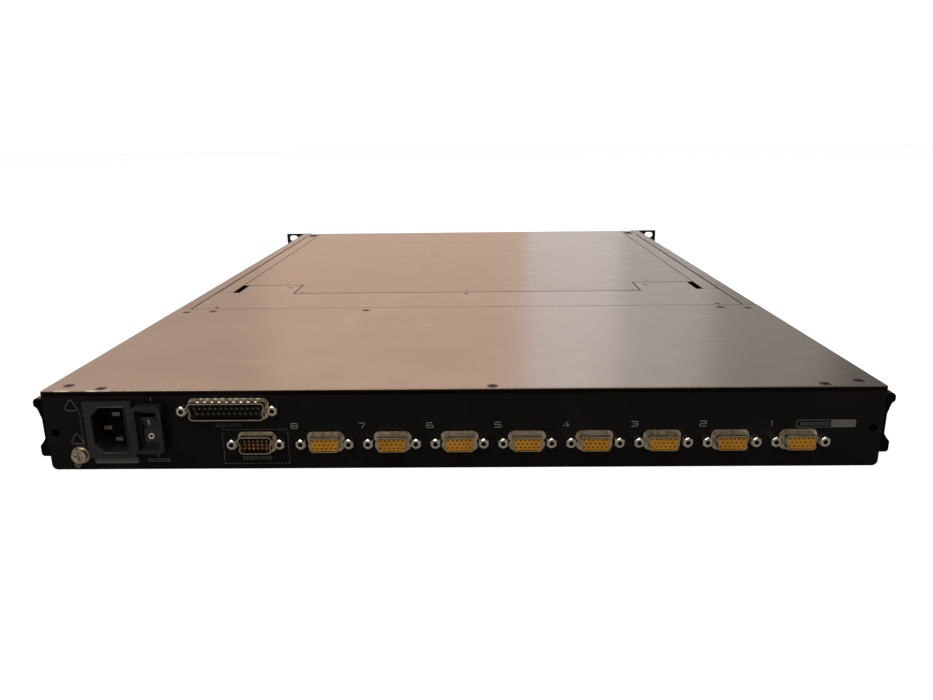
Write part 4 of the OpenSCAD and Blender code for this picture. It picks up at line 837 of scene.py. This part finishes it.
@dataclass
class PackedParts:
    """The CAD nodes, which keep their shapes: their finishes, and the rounding of their edges."""

    lid_nodes: tuple[str, ...] = ("lid_back_cover", "side_trims")
    facets: int = 3
    sharp_deg: float = 35
    weld_mm: float = 0.004
    edges_mm: dict[str, float] = field(default_factory=lambda: {
        "rear_cover": 0.5, "hinge_deck": 0.4, "side_trims": 0.4, "lid_back_cover": 0.7, "rear_case": 0.4,
        "left_outer_rail": 0.9, "right_outer_rail": 0.9, "left_rack_ear": 0.4, "right_rack_ear": 0.4,
        "drawer_front": 1.6, "power_inlet": 0.7, "power_switch_housing": 0.8, "power_rocker": 0.4,
        "ground_screw": 0.5, "jack_screws": 0.25, "release_catches": 0.6, "touchpad": 0.3,
        "touchpad_left_button": 0.5, "touchpad_right_button": 0.5, "keyboard_frame": 0.6,
        "letter_keys": 0.45, "number_and_function_keys": 0.45, "bottom_row_keys": 0.45,
        "port_select_buttons": 0.4, "lid_control_buttons": 0.4, "lid_bezel": 0.8, "lid_hinge_arms": 0.4,
        "cable_arm_rear": 0.3, "cable_arm_front": 0.3,
    })

    def dress(self, node: str, finish: Finish) -> None:
        """Give one CAD node a finish.

        Args:
            node: The CAD node.
            finish: What it wears.
        """
        piece = frame["nodes"][node]
        material = finish.make()
        if not piece.material_slots:
            piece.data.materials.append(material)
        for holder in piece.material_slots:
            holder.material = material
        LOG.info("%s wears %s", node, material.name)

    def soften(self, node: str, width_mm: float) -> None:
        """Break a CAD node's sharp edges, as a press, mould or paint does.

        Args:
            node: The CAD node.
            width_mm: Width of the rounded edge.
        """
        piece = frame["nodes"][node]
        weld = piece.modifiers.new("weld", "WELD")
        weld.merge_threshold = self.weld_mm * MM
        bevel = piece.modifiers.new("soften", "BEVEL")
        bevel.width = width_mm * MM
        bevel.segments = self.facets
        bevel.limit_method = "ANGLE"
        bevel.angle_limit = math.radians(self.sharp_deg)
        bevel.miter_outer = "MITER_ARC"
        bevel.harden_normals = False

    def build(self) -> None:
        """Dress every node by its material slot and soften the edges that show."""
        for row in frame["record"]["subparts"]:
            self.dress(row["node"], FINISH_OF_SLOT[row["material_slot"]])
        # The lid and its trims wear the cover's paint drawn darker, as painted shade.
        for node in self.lid_nodes:
            self.dress(node, SHADED_LID_PAINT)
        for node, width in self.edges_mm.items():
            self.soften(node, width)


@dataclass
class Port:
    """One D-shaped port: where its mouth is, and how large. Lengths in millimetres."""

    x: float
    z: float
    width: float
    height: float
    wall: float = 0.0
    foot: float = 1.25  # how far the flare at its root stands outside the tube
    corner: float = 1.6
    lean_deg: float = 10.0

    def loop(self, grow: float) -> list[Pair]:
        """Outline the port.

        Args:
            grow: How far the outline stands outside the tube.

        Returns:
            The rounded outline, in place.
        """
        grow += self.wall
        w, h = self.width / 2 + grow, self.height / 2 + grow
        inset = 2 * h * math.tan(math.radians(self.lean_deg))
        corners = [(-w, h), (w, h), (w - inset, -h), (-w + inset, -h)]
        return [(x + self.x, z + self.z) for x, z in rounded_loop(corners, self.corner + grow)]


@dataclass
class PortField:
    """The drawn shells of the rear panel's D ports and their contacts. Lengths in millimetres."""

    port_xs: list[float] = field(default_factory=lambda: [-174.8 + 35.1 * k for k in range(8)])
    port_z: float = 15.4
    port_mouth: Pair = (16.33, 7.9)
    console: Port = field(default_factory=lambda: Port(106.9, 15.4, 16.92, 8.36, 0.5))
    chain: Port = field(default_factory=lambda: Port(120.3, 34.0, 38.96, 8.36, 0.5, 0.85))
    # How far each ring stands outside the tube, and how far behind the panel. The close rings beside
    # each bend keep the faces between them flat to the light.
    tube: Pairs = (
        (0.34, 0.53), (0.24, 0.54), (0.14, 0.6), (0.07, 0.72), (0.04, 0.9), (0.04, 1.3), (0.04, 5.0),
        (0.03, 5.4), (0.0, 5.66), (-0.1, 5.88), (-0.24, 5.98), (-0.38, 5.94), (-0.48, 5.78),
        (-0.53, 5.5), (-0.54, 4.2))
    # The flange under the tube, measured in from its foot.
    flange: Pairs = ((0, 0.02), (0, 0.32), (0.05, 0.45), (0.16, 0.52), (0.24, 0.53))
    pin_tip: Pairs = ((0.53, 0), (0.54, 0.2), (0.44, 0.52), (0.24, 0.66), (0, 0.7))
    pin_out: float = 3.75
    chain_rows: tuple[tuple[float, int], ...] = ((1.42, 13), (-1.42, 12))
    chain_pitch: float = 2.77
    console_rows: tuple[tuple[float, int], ...] = ((1.98, 6), (0, 6), (-1.98, 6))
    console_pitch: float = 2.29
    dimple: Pairs = ((1.0, 0), (0.92, 0.12), (0.7, 0.22), (0.36, 0.28), (0, 0.3))
    dimple_count: int = 9
    dimple_pitch: float = 3.75
    dimple_out: float = 3.2

    def build_shells(self) -> None:
        """Lay a drawn skin over each port's shell: a flared root, a straight tube and a rolled lip."""
        small = [Port(x, self.port_z, *self.port_mouth) for x in self.port_xs]
        meshes = []
        for port in [*small, self.console, self.chain]:
            root = [(port.foot - inset, out) for inset, out in self.flange]
            rings = [(port.loop(grow), out) for grow, out in (*root, *self.tube)]
            meshes.append((loft_mesh("shell", rings), Matrix.Identity(4)))
        add_piece("drawn_port_shells", join_meshes("drawn_port_shells", meshes), NICKEL, Body.BASE)

    def build_pins(self) -> None:
        """Put a bright rounded tip on every contact pin of the two wide ports."""
        tip = turned_mesh("tip", self.pin_tip, 16)
        out = Matrix.Rotation(-math.pi / 2, 4, "X")
        places = []
        for port, rows, pitch in ((self.chain, self.chain_rows, self.chain_pitch),
                                  (self.console, self.console_rows, self.console_pitch)):
            for z, count in rows:
                for k in range(count):
                    x = port.x + (k - (count - 1) / 2) * pitch
                    spot = Vector((x * MM, REAR_Y + self.pin_out * MM, (port.z + z) * MM))
                    places.append((tip, Matrix.Translation(spot) @ out))
        add_piece("contact_pin_tips", join_meshes("contact_pin_tips", places), TIN, Body.BASE)

    def build_dimples(self) -> None:
        """Press a row of small grounding dimples into the top of the chain port's shell."""
        dimple = turned_mesh("dimple", self.dimple, 20)
        top = (self.chain.z + self.chain.height / 2 + self.chain.wall) * MM
        oval = Matrix.Diagonal((1.15, 0.7, 1, 1))
        places = []
        for k in range(self.dimple_count):
            x = self.chain.x + (k - (self.dimple_count - 1) / 2) * self.dimple_pitch
            spot = (x * MM, REAR_Y + self.dimple_out * MM, top)
            places.append((dimple, Matrix.Translation(spot) @ oval))
        add_piece("shell_dimples", join_meshes("shell_dimples", places), JACK_NICKEL, Body.BASE)

    def build(self) -> None:
        """Build the shells' skins, their dimples and the pins' tips."""
        self.build_shells()
        self.build_dimples()
        self.build_pins()


# Strokes of each plain number, in a cell one unit wide and one high.
NUMBER_STROKES: dict[int, list[Loop]] = {
    1: [[(0.5, 0), (0.5, 1), (0.3, 0.8)]],
    2: [[(0, 1), (0.85, 1), (1, 0.9), (1, 0.6), (0.85, 0.5), (0.15, 0.5), (0, 0.4), (0, 0), (1, 0)]],
    3: [[(0, 1), (0.85, 1), (1, 0.9), (1, 0.1), (0.85, 0), (0, 0)], [(0.25, 0.5), (1, 0.5)]],
    4: [[(0.75, 0), (0.75, 1), (0, 0.3), (1, 0.3)]],
    5: [[(1, 1), (0, 1), (0, 0.55), (0.85, 0.55), (1, 0.45), (1, 0.1), (0.85, 0), (0, 0)]],
    6: [[(0.9, 1), (0.15, 1), (0, 0.9), (0, 0.1), (0.15, 0), (0.85, 0), (1, 0.1), (1, 0.5), (0, 0.5)]],
    7: [[(0, 1), (1, 1), (1, 0.85), (0.45, 0)]],
    8: [[(0.15, 0), (0.85, 0), (1, 0.1), (1, 0.9), (0.85, 1), (0.15, 1), (0, 0.9), (0, 0.1), (0.15, 0)],
        [(0, 0.5), (1, 0.5)]],
}


@dataclass
class PanelPrint:
    """Everything printed on the rear panel; its captions spell nothing. Lengths in millimetres."""

    port_xs: list[float]
    line: float = 0.34
    thin_line: float = 0.3
    raised: float = 0.03
    number_line: float = 0.42
    number_size: Pair = (3.3, 2.7)
    number_z: float = 22.7
    number_beside: float = 13.8  # from the first port's middle; each next one stands a little further
    number_drift: float = 0.34
    dash: float = 0.9
    dash_gap: float = 0.95
    dash_line: float = 0.26
    console_frame: tuple[float, float, float, float] = (90.8, 125.2, 3.0, 22.2)
    # Middle, foot and side of each empty triangle.
    triangles: tuple[tuple[str, float, float, float], ...] = (
        ("upper_triangle", 203.1, 33.7, 6.6), ("lower_triangle", 202.3, 15.1, 6.3))
    earth_arrow: Pairs = ((202.6, 3.0), (205.4, 3.0), (204.0, 1.5))
    label: tuple[float, float, float, float] = (-203.6, -174.0, 22.1, 25.2)
    label_field: tuple[float, float, float, float] = (-203.5, -191.8, 22.2, 25.1)
    blank_plate: tuple[float, float, float, float] = (171.0, 194.6, 3.4, 7.1)
    # Name, lower and higher X, lower Z, height of its signs, and ink.
    captions: tuple[tuple[str, float, float, float, float, PrintedInk], ...] = (
        ("chain_caption", 115.0, 128.0, 23.9, 1.5, DIM_INK),
        ("console_caption", 100.2, 114.6, 5.4, 1.6, INK),
        ("power_caption", 154.6, 165.0, 4.4, 1.7, INK),
        ("label_caption", -190.4, -175.2, 22.9, 1.4, DIM_INK))
    caption_pitch: float = 1.72
    caption_width: float = 1.05
    # X, foot and length of the upright row of bars beside the mains inlet, and their pitch and reach.
    bars: tuple[float, float, float] = (199.0, 13.0, 22.0)
    bar_pitch: float = 1.25
    bar_reach: float = 0.35
    on_sign: Pairs = ((160.8, 38.4), (160.8, 40.1))
    off_sign: tuple[float, float, float, float] = (160.3, 8.0, 0.6, 0.85)

    def _strokes(self, name: str, strokes: Strokes, finish: Finish, line: float) -> None:
        """Print lines on the panel.

        Args:
            name: Name of the piece.
            strokes: Each line's points in the panel's X and Z, and whether it closes.
            finish: The ink.
            line: Width of the lines.
        """
        self._lay(name, stroke_mesh(name, strokes, line, self.raised), finish)

    def _plate(self, name: str, loop: Loop) -> None:
        """Print a filled field on the panel.

        Args:
            name: Name of the piece.
            loop: Its outline.
        """
        self._lay(name, flat_mesh(name, loop, 2 * self.raised), DIM_INK)

    @staticmethod
    def _lay(name: str, mesh: bpy.types.Mesh, finish: Finish) -> None:
        """Stand a flat mesh on the panel's outer face.

        Args:
            name: Name of the piece.
            mesh: Its mesh, drawn in X and Y.
            finish: The ink.
        """
        mesh.transform(Matrix.Translation((0, REAR_Y, 0)) @ FACE_REAR)
        add_piece(name, mesh, finish, Body.BASE)

    def build_numbers(self) -> None:
        """Print a plain number beside each computer port."""
        wide, high = self.number_size
        for k, x in enumerate(self.port_xs):
            left = x + self.number_beside + self.number_drift * k + wide / 2
            strokes = [([(left - a * wide, self.number_z + b * high) for a, b in line], False)
                       for line in NUMBER_STROKES[k + 1]]
            self._strokes(f"port_number_{k + 1}", strokes, INK, self.number_line)

    def build_frames(self) -> None:
        """Print the dashed outline, the triangles, the label and the plates."""
        dash, step = self.dash, self.dash + self.dash_gap
        x0, x1, z0, z1 = self.console_frame
        dots: Strokes = []
        for z in (z0, z1):
            dots += [([(x0 + k * step, z), (x0 + k * step + dash, z)], False)
                     for k in range(int((x1 - x0) / step) + 1)]
        for x in (x0, x1):
            dots += [([(x, z0 + k * step), (x, z0 + k * step + dash)], False)
                     for k in range(int((z1 - z0) / step))]
        self._strokes("console_port_outline", dots, INK, self.dash_line)
        for name, x, z, w in self.triangles:
            corners = rounded_loop([(x - w / 2, z), (x + w / 2, z), (x, z + w * 0.86)], 0.6, 4)
            self._strokes(name, [(corners, True)], DIM_INK, self.line)
        self._plate("earth_mark", rounded_loop(self.earth_arrow, 0.2, 3))
        outline = rounded_loop(box_corners(*self.label), 0.6, 4)
        self._strokes("label_outline", [(outline, True)], DIM_INK, self.thin_line)
        self._plate("label_field", rounded_loop(box_corners(*self.label_field), 0.5, 4))
        self._plate("blank_plate", rounded_loop(box_corners(*self.blank_plate), 1.1, 5))

    def build_signs(self) -> None:
        """Print the switch's bar and ring, and rows of small boxes where captions would stand."""
        self._strokes("switch_on_sign", [(self.on_sign, False)], INK, self.line)
        self._strokes("switch_off_sign", [(ring_loop(*self.off_sign, 16), True)], INK, self.thin_line)
        for name, start, end, low, high, ink in self.captions:
            count = int((end - start) / self.caption_pitch) + 1
            lefts = [start + k * self.caption_pitch for k in range(count)]
            boxes = [(box_corners(x, x + self.caption_width, low, low + high), True) for x in lefts]
            self._strokes(name, boxes, ink, self.thin_line)
        x, foot, length = self.bars
        levels = [foot + k * self.bar_pitch for k in range(int(length / self.bar_pitch))]
        bars = [([(x - self.bar_reach, z), (x + self.bar_reach, z + 0.25 * (k % 3))], False)
                for k, z in enumerate(levels)]
        self._strokes("inlet_caption", bars, DIM_INK, self.thin_line)

    def build(self) -> None:
        """Print the whole panel."""
        self.build_numbers()
        self.build_frames()
        self.build_signs()


@dataclass
class PowerEntry:
    """The mains inlet and the rocker switch beside it. Lengths in millimetres."""

    inlet_x: float = 183.3
    inlet_z: float = 23.2
    flange_out: float = 2.6
    mouth: Pair = (16.8, 24.4)
    chamfer: float = 4.6
    # How far each ring of the bead stands outside the mouth, and how far behind the flange.
    bead: Pairs = ((1.9, 0.01), (1.7, 0.3), (1.35, 0.5), (0.8, 0.5), (0.4, 0.36),
                                             (0.12, 0.05), (0.03, -0.5), (-0.02, -2.0))
    rocker_x: float = 162.3
    rocker_z: float = 23.7
    pivot_in: float = 2.4
    face_out: float = 3.2
    face_rise: float = 1.4
    half_height: float = 7.5
    rest_deg: float = -7.0
    mark_line: float = 0.75
    mark_half: float = 1.5
    mark_radius: float = 1.25
    mark_raised: float = 0.04

    def mouth_loop(self, grow: float) -> list[Pair]:
        """Outline the inlet's mouth, which has its two right corners cut off.

        Args:
            grow: How far the outline stands outside the mouth.

        Returns:
            The rounded outline.
        """
        w, h = self.mouth[0] / 2 + grow, self.mouth[1] / 2 + grow
        c = self.chamfer + 0.4 * grow
        corners = [(-w, h), (w - c, h), (w, h - c), (w, -h + c), (w - c, -h), (-w, -h)]
        return [(x + self.inlet_x, z + self.inlet_z) for x, z in rounded_loop(corners, 0.9 + grow * 0.5)]

    def build_rim(self) -> None:
        """Raise a moulded bead round the inlet's mouth."""
        rings = [(self.mouth_loop(grow), self.flange_out + out) for grow, out in self.bead]
        add_piece("inlet_rim", loft_mesh("inlet_rim", rings), INLET_NYLON, Body.BASE)

    def build_marks(self) -> None:
        """Print the bar and the ring on the rocker's two faces."""
        lean = math.atan(self.face_rise / self.half_height)
        along = 0.54 * self.half_height
        out = self.face_out + self.face_rise * along / self.half_height + 0.02
        pivot = Matrix.Translation((self.rocker_x * MM, REAR_Y - self.pivot_in * MM, self.rocker_z * MM))
        swing = Matrix.Rotation(math.radians(self.rest_deg), 4, "X")
        bar = [([(0, -self.mark_half), (0, self.mark_half)], False)]
        ring = [(ring_loop(0, 0, self.mark_radius, self.mark_radius, 24), True)]
        for name, side, strokes in (("rocker_bar", 1, bar), ("rocker_ring", -1, ring)):
            mesh = stroke_mesh(name, strokes, self.mark_line, self.mark_raised)
            on_face = Matrix.Translation((0, out * MM, side * along * MM))
            mesh.transform(pivot @ swing @ on_face @ Matrix.Rotation(-side * lean, 4, "X") @ FACE_REAR)
            add_piece(name, mesh, BRIGHT_INK, Body.ROCKER)

    def build(self) -> None:
        """Build the rim and the marks."""
        self.build_rim()
        self.build_marks()


@dataclass
class Studio:
    """The pale floor, the soft lights and the camera."""

    camera_at: Triple = (-0.009611, 0.71534, 0.17137)
    yaw: float = -0.0165
    pitch: float = 0.2757
    roll: float = -0.0120
    lens_mm: float = 29.904
    sensor_mm: float = 36
    floor_half: float = 7.0
    wall_y: float = -3.4
    # Foot and top of each row of panels, and how bright it is beside the others.
    rows: tuple[Triple, ...] = ((0.0, 0.75, 0.62), (0.75, 1.2, 0.74), (1.2, 2.7, 1.10))
    # Name, reach along X, brightness in W/m2, and the colour of each row from the lowest. The paint
    # mirrors them: that is what makes its left half warm and its right edge grey.
    walls: tuple[tuple[str, Pair, float, tuple[str, str, str]], ...] = (
        ("warm_wall", (1.15, 3.23), 2.75, ("#ffd0ae", "#ffd3b4", "#ffdac3")),
        ("mild_wall", (-0.27, 1.15), 3.70, ("#ffd5b8", "#ffd8bd", "#ffdcc7")),
        ("pale_wall", (-0.77, -0.27), 4.05, ("#fff4ef", "#fff6f2", "#fffbfb")),
        ("soft_wall", (-1.27, -0.77), 2.60, ("#fff6f0", "#fff9f5", "#fffbf8")),
        ("grey_wall", (-1.97, -1.27), 1.20, ("#fff6f0", "#fff9f4", "#fffaf6")))
    # Name, place, aim, width and height, power in watts, and colour. The rear fill hangs high, or the
    # corner between a port's shell and its flange would mirror it.
    boxes: tuple[tuple[str, Triple, Triple, Pair, float, str], ...] = (
        ("overhead", (0.0, 0.9, 3.0), (0.0, 0.2, 0.0), (2.4, 2.4), 30, "#fffaf4"),
        ("rear_fill", (0.8, 2.3, 2.9), (0.0, 0.3, 0.02), (2.6, 1.8), 66, "#fff3e4"),
        ("front_fill", (1.7, -2.2, 3.0), (0.0, -0.2, 0.02), (2.2, 1.8), 34, "#fffaf4"))

    def build(self) -> None:
        """Build the floor, the world, the lights and the camera."""
        self._floor()
        self._world()
        for name, (x0, x1), brightness, colours in self.walls:
            for k, (foot, top, share) in enumerate(self.rows):
                x, z, size = (x0 + x1) / 2, (foot + top) / 2, (x1 - x0, top - foot)
                power = brightness * share * size[0] * size[1]
                self._light(f"{name}_{k}", (x, self.wall_y, z), (x, 0.0, z), size, power, colours[k])
        for box in self.boxes:
            self._light(*box)
        self._camera()
        bpy.context.scene.view_settings.view_transform = "Standard"
        LOG.info("studio ready")

    def _floor(self) -> None:
        """Lay a seamless pale floor."""
        mesh = bpy.data.meshes.new("floor")
        h = self.floor_half
        mesh.from_pydata([(-h, -h, 0), (h, -h, 0), (h, h, 0), (-h, h, 0)], [], [(0, 1, 2, 3)])
        floor = bpy.data.objects.new("floor", mesh)
        bpy.context.scene.collection.objects.link(floor)
        material = bpy.data.materials.new("Matt white studio sweep")
        material.use_nodes = True
        tree = material.node_tree
        tree.nodes.clear()
        paper = add_node(tree, "ShaderNodeBsdfDiffuse", {"Color": srgb("#9a9997")})
        dim = add_node(tree, "ShaderNodeBsdfDiffuse", {"Color": srgb("#8e8c89")})
        lift = add_node(tree, "ShaderNodeEmission", {"Color": (1, 1, 1, 1), "Strength": 0.9})
        seen = add_node(tree, "ShaderNodeAddShader", {0: paper.outputs[0], 1: lift.outputs[0]})
        self._show(tree, "ShaderNodeOutputMaterial", dim, seen)
        mesh.materials.append(material)

    def _world(self) -> None:
        """Surround the stage with a dim, even light behind a white backdrop."""
        world = bpy.data.worlds.new("studio")
        bpy.context.scene.world = world
        world.use_nodes = True
        tree = world.node_tree
        tree.nodes.clear()
        dim = add_node(tree, "ShaderNodeBackground", {"Color": srgb("#f2efec"), "Strength": 0.24})
        white = add_node(tree, "ShaderNodeBackground", {"Color": (1, 1, 1, 1), "Strength": 1.0})
        self._show(tree, "ShaderNodeOutputWorld", dim, white)

    @staticmethod
    def _show(tree: Tree, output: str, lit: bpy.types.Node, seen: bpy.types.Node) -> None:
        """Let the stage look pale without lighting the object more.

        Args:
            tree: The floor's or the world's node tree.
            output: Its kind of output node.
            lit: What falls on the object.
            seen: What the camera sees.
        """
        ray = add_node(tree, "ShaderNodeLightPath")
        mix = add_node(tree, "ShaderNodeMixShader",
                       {0: ray.outputs["Is Camera Ray"], 1: lit.outputs[0], 2: seen.outputs[0]})
        add_node(tree, output, {"Surface": mix.outputs[0]})

    @staticmethod
    def _light(name: str, at: Triple, aim: Triple, size: Pair, power: float,
               colour: str) -> None:
        """Hang one soft box, unseen by the camera.

        Args:
            name: Its name.
            at: Where it hangs.
            aim: The point that it faces.
            size: Its width and height.
            power: Its power in watts.
            colour: Its colour.
        """
        light = bpy.data.lights.new(name, "AREA")
        light.shape = "RECTANGLE"
        light.size, light.size_y = size
        light.energy = power
        light.color = srgb(colour)[:3]
        lamp = bpy.data.objects.new(name, light)
        bpy.context.scene.collection.objects.link(lamp)
        lamp.location = at
        lamp.rotation_euler = (Vector(aim) - Vector(at)).to_track_quat("-Z", "Y").to_euler()
        lamp.visible_camera = False

    def _camera(self) -> None:
        """Place the camera behind the object, looking a little down on it."""
        ahead = Vector((math.sin(self.yaw) * math.cos(self.pitch),
                        math.cos(self.yaw) * math.cos(self.pitch), -math.sin(self.pitch)))
        level = Vector((math.cos(self.yaw), -math.sin(self.yaw), 0))
        rise = level.cross(ahead)
        right = math.cos(self.roll) * level + math.sin(self.roll) * rise
        up = -math.sin(self.roll) * level + math.cos(self.roll) * rise
        # The camera stands behind the object, so its own X and Y run against the frame's.
        turn = Vector((-1, -1, 1))
        columns = [right * turn, up * turn, -ahead * turn]
        matrix = Matrix([[c[i] for c in columns] + [self.camera_at[i]] for i in range(3)]
                        + [[0, 0, 0, 1]])
        data = bpy.data.cameras.new("camera")
        data.lens = self.lens_mm
        data.sensor_width = self.sensor_mm
        camera = bpy.data.objects.new("camera", data)
        bpy.context.scene.collection.objects.link(camera)
        camera.matrix_world = matrix
        bpy.context.scene.camera = camera


def main() -> None:
    """Dress the CAD nodes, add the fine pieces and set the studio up."""
    logging.basicConfig(level=logging.INFO, format="%(name)s: %(message)s")
    parts = PackedParts()
    parts.build()
    ports = PortField()
    ports.build()
    PanelPrint(ports.port_xs).build()
    PowerEntry().build()
    # The inlet's blades stand deep in its mouth, so their tin is drawn darker than the ports' pins:
    # partly tarnish, partly painted shade.
    parts.dress("inlet_pins", TARNISHED_AND_SHADED_TIN)
    Studio().build()


if __name__ == "__main__":
    main()
